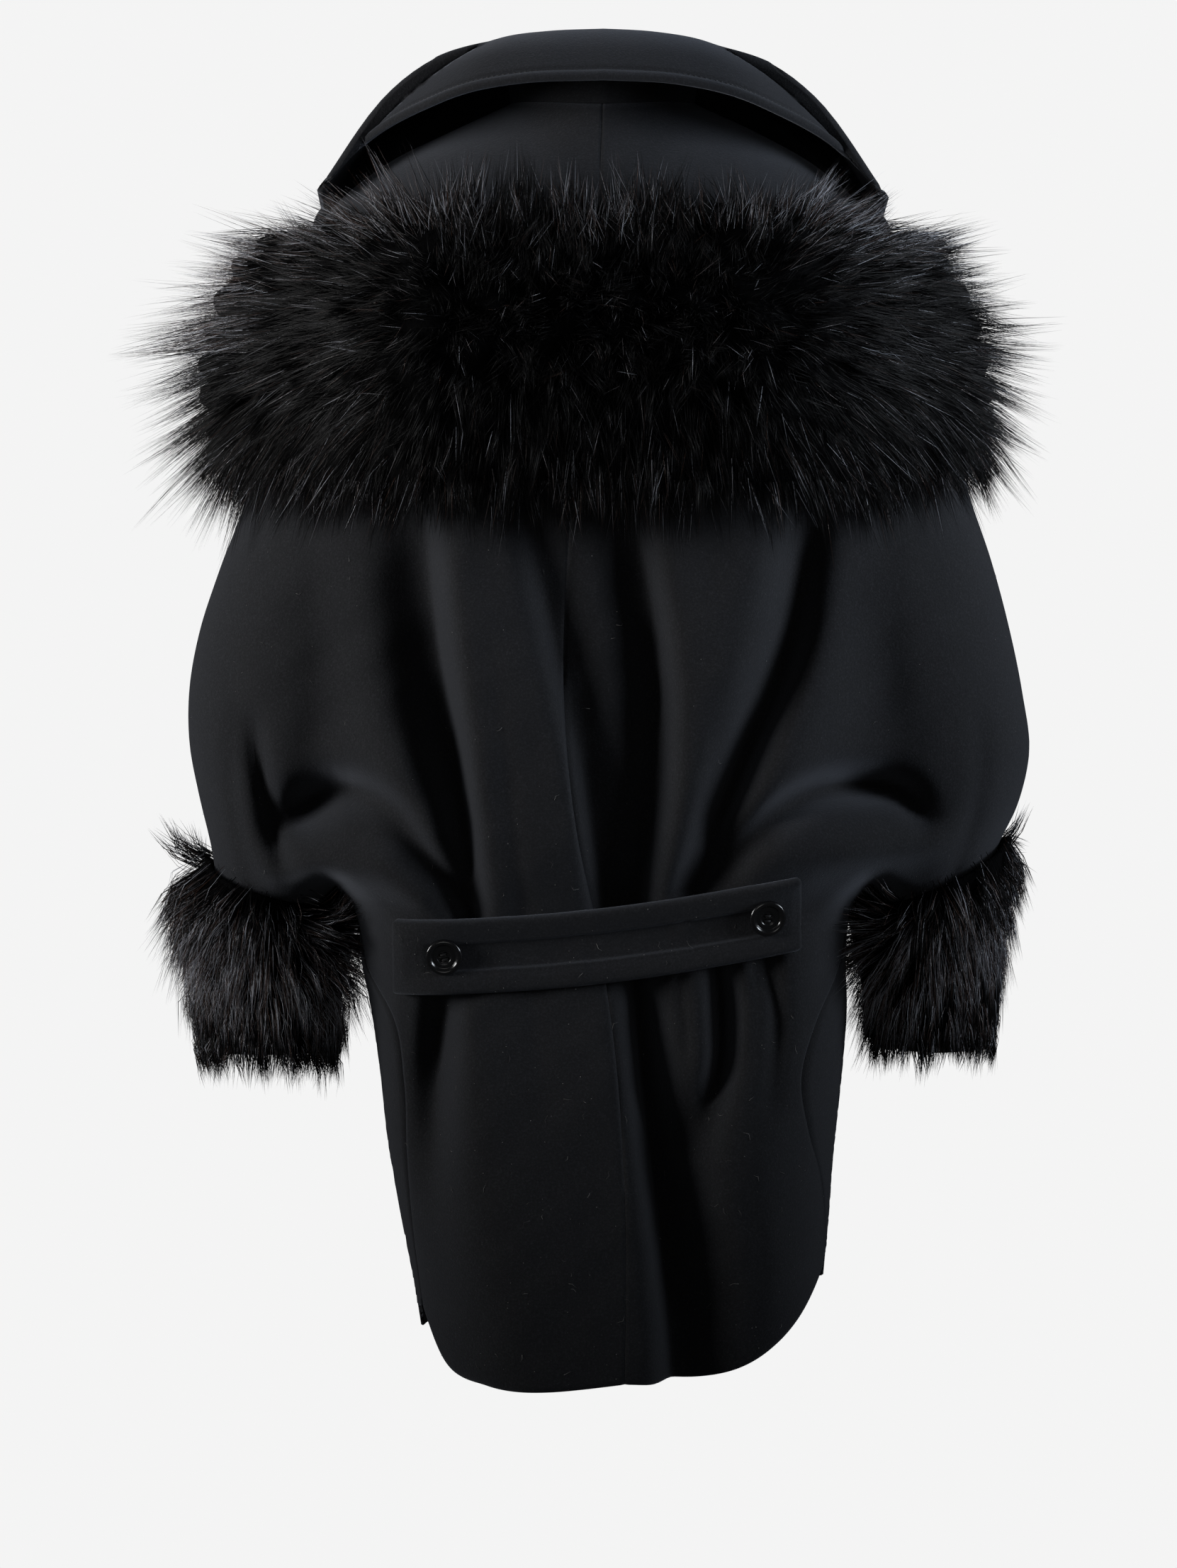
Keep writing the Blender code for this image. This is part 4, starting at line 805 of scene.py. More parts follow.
# %% [markdown]
# ## The collar
# A coat collar is a stand that rises from the neck seam, a roll, and a leaf that turns down over
# the shoulders. Its table has one row for each place round the neck on one side. A smooth curve
# through each row, and through the rows, makes the whole surface. The leaf's edge is a welt:
# the cloth is thicker there, and a line of stitches lies in a groove behind it.

# %% Collar table
COLLAR_THICK, COLLAR_END_X, LEAF_CLEAR = 5, 5, 4
COLLAR_COLUMNS = ("along", "stand", "roll", "leaf_top", "leaf_mid", "edge")
COLLAR = [
    (0.00, (0, 80, 18), (0, 76, 38), (0, 96, 42), (0, 124, 28), (0, 146, 2)),
    (0.11, (31, 76, 18), (31, 72, 37), (40, 92, 41), (52, 120, 27), (62, 142, 0)),
    (0.24, (58, 55, 16), (59, 53, 34), (78, 72, 38), (104, 98, 20), (124, 118, -12)),
    (0.34, (70, 25, 14), (75, 24, 30), (104, 34, 32), (147, 48, 5), (182, 62, -37)),
    (0.45, (70, -10, 12), (76, -10, 26), (112, -12, 24), (166, -14, -10), (225, -14, -88)),
    (0.60, (62, -54, -20), (72, -60, -8), (104, -70, -12), (148, -84, -50), (188, -98, -116)),
    (0.76, (42, -96, -64), (54, -106, -50), (78, -122, -58), (108, -142, -98), (128, -150, -146)),
    (0.88, (24, -122, -90), (34, -134, -78), (52, -150, -88), (76, -162, -128), (92, -168, -174)),
    (1.00, (10, -134, -108), (14, -148, -100), (24, -162, -110), (42, -172, -150), (54, -178, -194)),
]


def neckline(side):
    """The upper edge of the panels from centre back to the front edge, and the way on from it."""
    q, step = np.linspace(0, 1, 60), 3.0
    edges = []
    for face in ("back", "front"):
        if face == "back":
            x, z = NECK_HALF_WIDTH * q, NECK_BACK_Z + (NECK_SIDE_Z - NECK_BACK_Z) * q**1.6
            out = np.stack([q, q - 1], axis=1)
        else:
            x = COLLAR_END_X + (NECK_HALF_WIDTH - COLLAR_END_X) * q
            z = NECK_FRONT_Z + (NECK_SIDE_Z - NECK_FRONT_Z) * (x + FRONT_OVERLAP) / (NECK_HALF_WIDTH + FRONT_OVERLAP)
            out = np.stack([np.full(60, 0.8), np.full(60, -0.6)], axis=1)
        out = unit(out) * step
        edge = place(side, face, x, z, False)
        edges.append((edge, unit(edge - place(side, face, x + out[:, 0], z + out[:, 1], False))))
    (back, back_on), (front, front_on) = edges
    return np.vstack([back, front[::-1][1:]]), np.vstack([back_on, front_on[::-1][1:]])

# %% Collar surface
PLACES, DOWN = np.linspace(0, 1, 97), np.r_[np.linspace(0, 4.4, 30), np.linspace(4.48, 5, 12)]
WELT_AT, WELT_GROOVE = 8.0, 1.0  # the groove's distance from the edge, and its depth
WELT_SWELL = 0.7  # how far the welt stands out between the groove and the edge


def collar_side(side):
    """Rows from centre back to the front; each goes from the neck seam to the leaf's edge."""
    edge, onward = neckline(side)
    run = run_along(edge)
    along, table = [row[0] for row in COLLAR], np.array([row[1:] for row in COLLAR], float)
    rest = np.stack(
        [np.stack([smooth(PLACES, along, table[:, c, k]) for k in range(3)], axis=-1) for c in range(5)], axis=1
    ) * (side, 1, 1)
    if side == RIGHT:
        rest[..., 1] -= (OVERLAP_LIFT * (ease((PLACES - 0.42) / 0.12) + ease((PLACES - 0.8) / 0.2)))[:, None]
        rest[..., 2] -= 6 * ease(PLACES * 3)[:, None] * np.array([0, 0.2, 0.5, 0.8, 1])
    seam, on = (read_line(PLACES * run[-1], run, v) for v in (edge, onward))
    up = unit(rest[:, 0] - seam)
    cosine = (on * up).sum(1)
    across = np.sqrt(np.maximum(0, 1 - cosine**2))
    lean = np.maximum(0, -cosine) / np.maximum(across, 0.5)
    # the stand's lower edge keeps clear of the panel's edge, the more so where it leans out
    seam = seam + on * (1.1 + COLLAR_THICK / 2 * across + 1.4 * WALL * lean)[:, None]
    seam = seam + up * ((0.5 + WALL / 2 * across) * np.maximum(0, 1 - 3 * lean))[:, None]
    # it starts inside the panels, as a sewn edge does
    seam = seam - on * 8 - unit(seam * (1, 1, 0) - (0, -10, 0)) * 4.5
    knots = np.concatenate([seam[:, None], rest], axis=1)
    return np.array([[smooth(DOWN, range(6), k[:, axis]) for axis in range(3)] for k in knots]).transpose(0, 2, 1)


def clear_of_cloth(rows, side):
    """The leaf keeps clear of the cloth under it."""
    face = np.where(rows[..., 1] > 5, 1, -1)
    x, z = rows[..., 0] * side, rows[..., 2]
    least = WALL / 2 + COLLAR_THICK / 2 + LEAF_CLEAR
    for which, sign in (("back", 1), ("front", -1)):
        need = seam_plane(x, z) * sign + stand_off(side, which, x, z) + least
        low = (face == sign) & (DOWN >= 3.2)[None] & (rows[..., 1] * sign < need)
        rows[..., 1] = np.where(low, need * sign, rows[..., 1])
    return rows


halves = {side: clear_of_cloth(collar_side(side), side) for side in (LEFT, RIGHT)}
collar_grid = np.concatenate([halves[RIGHT][::-1], halves[LEFT][1:]])
collar_grid[len(PLACES) - 1, :, 0] = 0
to_edge = np.cumsum(np.linalg.norm(np.diff(collar_grid[:, ::-1], axis=1), axis=2), axis=1)[:, ::-1]
to_edge = np.hstack([to_edge, np.zeros((len(collar_grid), 1))])
collar_faces = faces_over(collar_grid)[:, ::-1]
collar_points = collar_grid.reshape(-1, 3)
collar_normals = normals_of(collar_points, collar_faces)
groove = WELT_GROOVE * np.exp(-(((to_edge - WELT_AT) / 1.8) ** 2)).ravel()
groove = groove - WELT_SWELL * np.exp(-(((to_edge - 3) / 3) ** 2)).ravel()
collar_outside = COLLAR_THICK / 2 - groove
points, faces = wall(collar_points, collar_normals, collar_faces, collar_outside, -COLLAR_THICK / 2, 2.0)
cloth["collar"] = add_piece("collar_cloth", points, faces, wool, "black_wool", ["collar"])

# %% [markdown]
# ## Stitches
# A stitch is a short grain of thread that dips into the cloth at both ends. One small grain is
# made once, then copied along a line as an array: where each one is, which way it runs, and
# which way is up.

# %% Grains of thread
def grain(length, radius):
    """A spindle with four sides and five rings, thick in the middle and pointed at its ends."""
    t = np.array([-1, -0.7, 0, 0.7, 1])
    thick = np.array([0.25, 0.75, 1, 0.75, 0.25]) * radius
    a = np.arange(4) / 4 * 2 * math.pi
    points = np.stack(
        [
            np.repeat(t * length / 2, 4),
            (thick[:, None] * np.cos(a)).ravel(),
            (thick[:, None] * np.sin(a) - (t**2)[:, None] * radius).ravel(),
        ],
        axis=1,
    )
    ends = [(0, 1, 2), (0, 2, 3), (16, 18, 17), (16, 19, 18)]
    return points, np.vstack([ring_faces(5, 4)[1], ends])[:, ::-1]


def many(points, faces, at, forward, up):
    """Copies of a small mesh: its x axis along forward, its z axis along up."""
    forward, up = unit(forward), unit(up)
    sideways = unit(np.cross(up, forward))
    up = np.cross(forward, sideways)
    x, y, z = (points[:, k][None, :, None] for k in range(3))
    turned = at[:, None] + x * forward[:, None] + y * sideways[:, None] + z * up[:, None]
    numbers = faces[None] + np.arange(len(at))[:, None, None] * len(points)
    return turned.reshape(-1, 3), numbers.reshape(-1, 3)


def stitches_along(line, up, pitch, length, radius):
    """Grains every pitch mm along a line of points."""
    run = run_along(line)
    at = np.arange(pitch / 2, run[-1], pitch)
    places, ways, ups = (read_line(at, run, v) for v in (line, np.gradient(line, axis=0), up))
    return many(*grain(length, radius), places, ways, ups)


thread, nodes, links, shader = new_material("black_thread", (0.006, 0.006, 0.007), 0.5)
twist = noise(nodes, links, 3200, 1)
bumps(nodes, links, shader, [(twist, 0.3, 0.0001)])

# %% Stitches round the collar
k = np.array([np.interp(WELT_AT, row[::-1], np.arange(len(row))[::-1]) for row in to_edge])
low, part = np.floor(k).astype(int), (k % 1)[:, None]
rows_of = np.arange(len(k))
outer = (collar_points + collar_normals * collar_outside[:, None]).reshape(collar_grid.shape)
line = outer[rows_of, low] * (1 - part) + outer[rows_of, np.minimum(low + 1, len(DOWN) - 1)] * part
up = collar_normals.reshape(collar_grid.shape)[rows_of, low]
points, faces = stitches_along(line + up * 0.1, up, 4.2, 3.4, 0.45)
collar_stitches = add_piece("collar_stitches", points, faces, thread, "black_wool")

# %% [markdown]
# ## Fur
# Long-haired fur is a dense woolly under-coat with longer, stiffer guard hairs that stand in
# pointed locks. The under-coat is a dark closed form at half the pile's height. Each guard hair
# is a three-sided spike: most are straight, and some have one bend. A lock has a root and a tip
# of its own, and its hairs start round the root and draw together at the tip. So the outline
# gets points. A few hairs are pale: some are brown, the fur's own tint, and more are grey-blue,
# a painted highlight where light would glint on single hairs.

# %% Black fur
HAIR_LOOKS = {}
for kind, stops, roughness, specular in (
    ("dark", [(0.0, (0.0013, 0.0012, 0.0013)), (1.0, (0.0060, 0.0057, 0.0060))], 0.46, 0.18),
    # pale hairs: brown at low tone, the fur's own tint, and grey-blue at high tone, a painted highlight of glinting
    # hairs
    ("pale", [(0.0, (0.070, 0.034, 0.022)), (0.35, (0.110, 0.085, 0.080)), (1.0, (0.52, 0.55, 0.62))], 0.24, 0.60),
):
    look, nodes, links, shader = new_material(f"{kind}_guard_hair", (0.004, 0.004, 0.005), roughness)
    tone_and_painted_glint = nodes.new("ShaderNodeAttribute")
    tone_and_painted_glint.attribute_name = "tone_and_painted_glint"
    links.new(ramp(nodes, links, tone_and_painted_glint.outputs["Fac"], stops), shader.inputs["Base Color"])
    shader.inputs["Specular IOR Level"].default_value = specular
    HAIR_LOOKS[kind] = look
down_hair, nodes, links, shader = new_material("black_under_fur", (0.0012, 0.0012, 0.0014), 0.95)
tuft_bump = noise(nodes, links, 260, 3)
bumps(nodes, links, shader, [(tuft_bump, 0.8, 0.002)])
shader.inputs["Specular IOR Level"].default_value = 0.05

# %% A hair, many times
random = np.random.default_rng(41)
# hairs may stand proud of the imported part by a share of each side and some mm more, and are
# shorter where they would reach further
PROUD_SHARE, PROUD = 0.03, 8
low, high = np.array(cad_box) / MM
FUR_BOX = (low - PROUD_SHARE * (high - low) - PROUD, high + PROUD_SHARE * (high - low) + PROUD)
STRAY_TIP = 1.6  # how far a hair's tip strays from its lock's
SAG = 0.06  # how far a level hair's tip hangs down, as a share of its length

STRAIGHT = np.array([(0, 2, 1), (0, 1, 3), (1, 2, 3), (2, 0, 3)])
BENT = np.array([
    (0, 2, 1), (0, 1, 4), (0, 4, 3), (1, 2, 5), (1, 5, 4), (2, 0, 3), (2, 3, 5), (3, 4, 6), (4, 5, 6),
    (5, 3, 6),
])


def spikes(roots, tips, bends, width):
    """Points (hairs, 4 or 7, 3) of spikes: a ring of three round each root, one point at each
    tip, and between them, where the hairs bend, a thinner ring that is moved by bends."""
    way = unit(tips - roots)
    side = unit(np.cross(way, random.normal(size=way.shape)))
    a = np.arange(3)[None, :, None] / 3 * 2 * math.pi
    ring = (side[:, None] * np.cos(a) + np.cross(way, side)[:, None] * np.sin(a)) * (width / 2)[:, None, None]
    if bends is None:
        return np.concatenate([roots[:, None] + ring, tips[:, None]], axis=1)
    middle_of = roots * 0.54 + tips * 0.46 + bends
    return np.concatenate([roots[:, None] + ring, middle_of[:, None] + ring * 0.85, tips[:, None]], axis=1)


def patch(grid, u, v):
    """Reads a grid of vectors (rows, columns, 3) between its points, at u rows and v columns."""
    i = np.clip(u.astype(int), 0, grid.shape[0] - 2)
    j = np.clip(v.astype(int), 0, grid.shape[1] - 2)
    s, t = (u - i)[:, None], (v - j)[:, None]
    before = grid[i, j] * (1 - s) + grid[i + 1, j] * s
    return before * (1 - t) + (grid[i, j + 1] * (1 - s) + grid[i + 1, j + 1] * s) * t


def scatter(grid, count):
    """Random places on a grid, as many on each square mm."""
    first = grid[:-1, :-1]
    a = np.linalg.norm(np.cross(grid[1:, :-1] - first, grid[:-1, 1:] - first), axis=2)
    cell = random.choice(a.size, count, p=a.ravel() / a.sum())
    i, j = np.unravel_index(cell, a.shape)
    return i + random.random(count), j + random.random(count)


def fur_coat(base, normal, lie, reach, locks, hairs_in_lock, spread, lift, arch, painted_glint_and_tint_share, gather, stray):
    """Guard hairs over a patch of hide: their points, which ones are pale, and the tone of each. Pale hairs are mostly
    painted highlights, with some of the fur's brown tint.
    base, normal: the hide's points and unit normals (rows, columns, 3);
    lie: where a hair's tip is, seen from its root (rows, columns, 3), for a hair of full length;
    reach: limits (low, high) of a lock's length, as a share of lie;
    lift: how far above the hide the hairs start; arch: how far they bow outwards, or None for
    straight ones; bright: how many of the hairs are pale at each place (rows, columns);
    gather: how wide a lock still is at its tip, as a share of its width at the root;
    stray: how far a lock strays from its way, as a share of its length."""
    u, v = scatter(base, locks)
    length = random.uniform(*reach, size=locks)
    root, out, to = patch(base, u, v), unit(patch(normal, u, v)), patch(lie, u, v)
    full = np.linalg.norm(to, axis=1)
    tip = root + to * length[:, None] + random.normal(size=(locks, 3)) * (full * stray)[:, None]
    lock = np.repeat(np.arange(locks), hairs_in_lock)
    n = len(lock)
    offset = random.normal(size=(n, 3)) * spread
    offset -= out[lock] * (offset * out[lock]).sum(1, keepdims=True)
    short = random.uniform(0.5, 1.0, n) ** 0.6
    roots = root[lock] + offset + out[lock] * lift
    tips = root[lock] + offset * gather + (tip - root)[lock] * short[:, None]
    tips += random.normal(size=(n, 3)) * STRAY_TIP
    tips[:, 2] -= SAG * full[lock] * (1 - np.abs(unit(to)[lock][:, 2]))
    past = np.maximum(np.maximum(tips - FUR_BOX[1], FUR_BOX[0] - tips), 0)
    past /= np.maximum(np.abs(tips - roots), 0.001)
    tips -= (tips - roots) * past.max(axis=1, keepdims=True)
    bends = None if arch is None else out[lock] * (arch * full[lock] * random.uniform(0.4, 1.5, n))[:, None]
    # pale hairs: painted highlights of glinting hairs, and some brown tint, as many as the share map gives at each
    # place
    pale = random.random(n) < patch(painted_glint_and_tint_share[..., None], u, v)[lock, 0]
    width = np.where(pale, random.uniform(0.34, 0.52, n), random.uniform(0.48, 0.85, n))
    return spikes(roots, tips, bends, width), pale, random.random(n)


TRIANGLES_A_PIECE = 180_000


def add_hairs(name, points, pale, tone):
    """Adds hairs as pieces of one look that stay under the limit of triangles."""
    one, count = (STRAIGHT if points.shape[1] == 4 else BENT), points.shape[1]
    # dark hairs and pale ones, which are mostly painted highlights, go into pieces of their own
    for kind, chosen in (("dark", ~pale), ("pale", pale)):
        parts = -(-np.count_nonzero(chosen) * len(one) // TRIANGLES_A_PIECE)
        split = zip(np.array_split(points[chosen], parts), np.array_split(tone[chosen], parts))
        for k, (some, tones) in enumerate(split):
            faces = one[None] + count * np.arange(len(some))[:, None, None]
            full_name = f"{name}_{kind}" + (f"_{k + 1}" if parts > 1 else "")
            piece = add_piece(full_name, some, faces.reshape(-1, 3), HAIR_LOOKS[kind], "black_fur")
            values = piece.data.attributes.new("tone_and_painted_glint", "FLOAT", "POINT")
            values.data.foreach_set("value", np.repeat(tones, count).astype(np.float32))

# %% [markdown]
# ## The fur band
# A strip of fur lies round the shoulders, behind and before. Along its upper edge the hairs
# stand up, along its lower edge they hang, and between they point straight out, so it looks
# like a bolster. Where it passes over the arm its locks stand out sideways in spikes.

# %% The hide under the band
BAND_COLUMNS = ("across", "top", "bottom")
BAND_BACK = [(0, -122, -282), (0.4, -120, -284), (0.75, -122, -280), (1, -130, -262)]
BAND_FRONT = [(0.16, -290, -392), (0.4, -246, -378), (0.75, -176, -314), (1, -130, -262)]
PILE_COLUMNS = ("down", "share")
PILE_FORM = [
    (-0.14, 0.30), (-0.04, 0.66), (0.12, 0.88), (0.36, 1.0), (0.62, 1.0), (0.86, 0.90), (1.06, 0.66),
    (1.2, 0.32),
]
PILE, BAND_CLEAR = 66, 4.2
BAND_SWELL = {LEFT: 30, RIGHT: 2}  # how much more the fur stands off over the arm
BAND_REACH = 84  # a hair of full length
BAND_HIGH, BAND_LOW = -0.14, 1.08  # the hide's edges, as shares of the way down the band
BAND_ROWS = {"back": 60, "front": 44}  # from the middle to the over-arm line
BAND_COLUMNS_DOWN, MIDDLE_COLUMN, OVERARM_X = 40, 20, 262
UNDER_FUR_SHARE = 0.42  # how much of the pile's height the under-fur fills


BAND_DOWN = np.linspace(BAND_HIGH, BAND_LOW, BAND_COLUMNS_DOWN)


def band_half(side, face):
    """Points under the band from the middle to the over-arm line (rows), and down it (columns)."""
    rows = BAND_BACK if face == "back" else BAND_FRONT
    first = rows[0][0]
    a = first + (1 - first) * np.sin(np.linspace(0, 1, BAND_ROWS[face]) * math.pi / 2)[:, None]
    down = BAND_DOWN[None]
    top, bottom = (column(rows, BAND_COLUMNS, name, a) for name in ("top", "bottom"))
    z = top + (bottom - top) * down
    line = OUTER_LINE[side]
    return place(side, face, a * np.interp(-z, -line[:, 1], line[:, 0]), z, False)


def band_pieces():
    """The back strip from right to left, and each front strip from the middle outwards."""
    back, front = ({side: band_half(side, face) for side in (LEFT, RIGHT)} for face in ("back", "front"))
    strips = front[RIGHT], back[RIGHT][::-1][1:], back[LEFT][1:], front[LEFT][::-1][1:]
    whole = np.concatenate(strips)
    normal = normals_of(whole.reshape(-1, 3), faces_over(whole)[:, ::-1]).reshape(whole.shape)
    a, b = BAND_ROWS["front"], BAND_ROWS["front"] + (BAND_ROWS["back"] - 1) * 2
    cuts = {"right": slice(0, a), "back": slice(a - 1, b), "left": slice(b - 1, None)}
    return {where_is: (whole[cut], normal[cut]) for where_is, cut in cuts.items()}


def over_arm(base, within):
    """How near each row is to the over-arm line: 1 at the line, 0 from a distance within on."""
    x, y = base[:, MIDDLE_COLUMN, 0], base[:, MIDDLE_COLUMN, 1]
    away = np.hypot(x - np.sign(x) * OVERARM_X, y)
    return (1 - ease(away / within))[:, None]


def band_swell(base):
    is_left = base[:, MIDDLE_COLUMN, 0] > 0
    return over_arm(base, 170) * np.where(is_left, BAND_SWELL[LEFT], BAND_SWELL[RIGHT])[:, None]


def band_lie(base, normal):
    """The way a hair of full length lies: straight out in the middle of the strip, up at its
    upper edge, less so over the arm, and down at its lower one."""
    down = unit(np.gradient(base, axis=1))
    t = BAND_DOWN[None]
    slope = np.clip(14 + 62 * (t - 0.42) / 0.72, -62, 78)
    slope = np.where(slope < 18, slope + (18 - slope) * 0.95 * over_arm(base, 280), slope)
    slope = np.radians(slope)[..., None]
    from_edge = np.minimum(t - BAND_HIGH, BAND_LOW - t)
    length = (BAND_REACH + band_swell(base)) * (0.72 + 0.28 * ease(from_edge / 0.4))
    return (normal * np.cos(slope) + down * np.sin(slope)) * length[..., None]


def band_painted_glint_and_tint(base):
    """How many hairs are pale, as painted highlights where light would glint, with some brown tint: along both edges
    of the strip, most on the left shoulder.
    """
    t = BAND_DOWN[None]
    x, z = base[..., 0], base[..., 2]
    # painted highlight: a patch of pale hairs on the left shoulder, and bands of them along the strip's upper edge
    # and, fewer, its lower edge
    shoulder = np.exp(-(((x - 256) / 30) ** 2) - ((z + 152) / 32) ** 2)
    edge = 0.32 + 0.24 * np.cos(x / 34 + 2.2 * np.sin(x / 90))
    edge = edge * np.exp(-(((t + 0.1) / 0.15) ** 2))
    return 0.04 + edge + 0.10 * np.exp(-(((t - 1.0) / 0.2) ** 2)) + 0.75 * shoulder


# %% Under-fur and guard hairs of the band
def under_fur(name, base, normal, faces, height, node):
    """A closed form over the hide, as high as height says at each of its points."""
    points, faces = wall(base.reshape(-1, 3), normal.reshape(-1, 3), faces, height.ravel(), 0.0, 1.0)
    add_piece(name, points, faces, down_hair, "black_fur", [node])


def lumps(base):
    """Waves of two sizes over a grid, round 1."""
    i, j = np.meshgrid(np.arange(base.shape[0]), np.arange(base.shape[1]), indexing="ij")
    small = 0.12 * np.sin(j * 1.1 + 1.7 * np.sin(i * 0.33))
    return 1 + 0.16 * np.sin(i * 0.9 + 1.3 * np.sin(j * 0.5)) + small


BAND_LOCKS = {"back": (600, 2900), "right": (150, 800), "left": (150, 800)}  # bent, straight

BAND_LIFT = BAND_CLEAR + 6

for where_is, (base, normal) in band_pieces().items():
    share = smooth(BAND_DOWN, *zip(*PILE_FORM))[None, :]
    height = (PILE + band_swell(base)) * UNDER_FUR_SHARE * share * lumps(base)
    hide, faces, name = base + normal * BAND_CLEAR, faces_over(base)[:, ::-1], f"band_{where_is}"
    under_fur(f"{name}_under_fur", hide, normal, faces, height, f"fur_band_{where_is}")
    lie, painted_glint_and_tint_share = band_lie(base, normal), band_painted_glint_and_tint(base)
    bent, straight = BAND_LOCKS[where_is]
    coat = fur_coat(base, normal, lie, (0.74, 1.12), bent, 14, 5.0, BAND_LIFT, 0.05, painted_glint_and_tint_share, 0.25, 0.13)
    add_hairs(f"{name}_hairs", *coat)
    coat = fur_coat(base, normal, lie, (0.66, 1.1), straight, 12, 6.0, BAND_LIFT, None, painted_glint_and_tint_share, 0.40, 0.13)
    add_hairs(f"{name}_fine_hairs", *coat)

# %% [markdown]
# ## The fur cuffs
# The cuffs are rings of the same fur round the ends of the sleeves. Their hairs lie down
# towards the hand, stand off at the top, and end in points below the cuff.

# %% Cuffs
CUFF_PILE, CUFF_TOP_Z, CUFF_LENGTH = 37, -600, 66  # the length is of a hair at the cuff's top
CUFF_UNDER_FUR_SHARE = 0.34
CUFF_END_Z = {LEFT: -739, RIGHT: -731}
CUFF_WIDE = {LEFT: 0.94, RIGHT: 0.45}  # how far the hairs stand out on the side away from the body
CUFF_ARCH = {LEFT: 0.17, RIGHT: 0.09}
FRINGE_LENGTH = {LEFT: 30, RIGHT: 24}  # of the hairs that hang over the sleeve's end
CUFF_RAISED = {LEFT: 8, RIGHT: 26}  # how far the fur runs up over the sleeve's outer side
CUFF_TOP_SLOPE = 36  # degrees below level, at the cuff's upper edge
CUFF_FORM = [(0.0, 0.50), (0.10, 0.84), (0.3, 1.0), (0.6, 0.98), (0.8, 0.84), (0.92, 0.56), (1.0, 0.22)]


def cuff_hide(side):
    """Rows round the sleeve and columns down it: points on the cuff's hide, and ways out of it."""
    angle, down = np.linspace(0, 2 * math.pi, 65)[:, None], np.linspace(0, 1, 24)[None]
    towards_body = (1 + np.cos(angle)) / 2
    top = CUFF_TOP_Z - 20 * towards_body - 8 * np.abs(np.sin(angle))
    top = top + CUFF_RAISED[side] * (1 - towards_body) ** 1.5
    z = top + (CUFF_END_Z[side] - top) * down
    zz = np.maximum(z, SLEEVE_END_Z)
    xi = np.interp(-zz, -SLEEVE_LINE[:, 1], SLEEVE_LINE[:, 0])
    xo = np.interp(-zz, -OUTER_LINE[side][:, 1], OUTER_LINE[side][:, 0])
    middle_x, half = (xi + xo) / 2, (xo - xi) / 2
    face = np.where(np.sin(angle) >= 0, section("arm_back", zz), section("arm_front", zz))
    grow = WALL / 2 + 2.6
    x = (middle_x - (half + grow) * np.cos(angle)) * side
    y = seam_plane(middle_x, zz) + (face + grow) * np.sin(angle)
    base = np.stack([x, y, z], axis=-1)
    out = np.stack([-np.cos(angle) * side + 0 * z, np.sin(angle) + 0 * z, 0 * z], axis=-1)
    return base, unit(out), towards_body + 0 * z


for side, where_is in ((LEFT, "left"), (RIGHT, "right")):
    base, normal, towards_body = cuff_hide(side)
    if side == LEFT:
        base, normal, towards_body = base[::-1], normal[::-1], towards_body[::-1]
    down = np.linspace(0, 1, base.shape[1])
    # next to the body the under-fur is thick enough to close the gap below the arm
    share = np.maximum(smooth(down, *zip(*CUFF_FORM))[None], 0.95 * towards_body**2)
    share = share * (1 + 1.4 * towards_body**4 * (1 - 0.7 * ease(down * 1.2))[None])
    height, name = CUFF_PILE * CUFF_UNDER_FUR_SHARE * share, f"cuff_{where_is}"
    under_fur(f"{name}_under_fur", base, normal, faces_over(base), height, f"cuff_fur_{where_is}")
    # the hairs lean out at the cuff's top and hang at its end; next to the body they stand out
    # level and are longer, and on the outer front the first few stand up past the sleeve
    to_body, first = ease((towards_body - 0.6) / 0.3), 1 - ease(down * 3.0)[None]
    slope = CUFF_TOP_SLOPE + (68 - CUFF_TOP_SLOPE) * ease(down * 1.6)[None]
    slope = slope - 34 * to_body * (1 - ease(down * 1.3)[None]) - 46 * to_body * first
    on_front = ease(1 - towards_body * 3.0) * (1 - ease(down * 7))[None] * (normal[..., 1] < 0)
    slope = slope - 80 * on_front + 16 * (1 - towards_body) * ease(down * 2 - 1)[None]
    slope = np.radians(slope)[..., None]
    length = CUFF_LENGTH + 14 * to_body * (1 - down[None] * 0.6) - 34 * ease(down * 1.35 - 0.35)[None]
    out_by = (CUFF_WIDE[side] + (1 - CUFF_WIDE[side]) * ease(towards_body * 1.6))[..., None]
    lie = (normal * np.cos(slope) * out_by - np.array([0, 0, 1]) * np.sin(slope)) * length[..., None]
    # painted highlight: pale hairs are most common half way down the cuff, where light would glint on the combed
    # hairs; some of them are brown tint
    painted_glint_and_tint_share = (0.20 + 0.76 * np.exp(-(((down - 0.46) / 0.32) ** 2)))[None] + 0 * towards_body
    arch = CUFF_ARCH[side]
    coat = fur_coat(base, normal, lie, (0.76, 1.16), 300, 14, 4.2, 4.0, arch, painted_glint_and_tint_share, 0.3, 0.09)
    add_hairs(f"{name}_hairs", *coat)
    coat = fur_coat(base, normal, lie, (0.66, 1.08), 560, 12, 4.6, 5.0, arch * 0.8, painted_glint_and_tint_share, 0.45, 0.08)
    add_hairs(f"{name}_fine_hairs", *coat)
    # a fringe hangs over the sleeve's end, with fewer pale hairs, painted highlights and brown tint, than the cuff
    # above
    end, out, fringe_painted_glint_and_tint_share = base[:, -5:], normal[:, -5:], 0.6 * painted_glint_and_tint_share[:, -5:]
    hang = (out * 0.16 - np.array([0, 0, 1])) * FRINGE_LENGTH[side]
    coat = fur_coat(end, out, hang, (0.5, 1.25), 130, 12, 3.6, 4.0, None, fringe_painted_glint_and_tint_share, 0.35, 0.14)
    add_hairs(f"{name}_fringe", *coat)

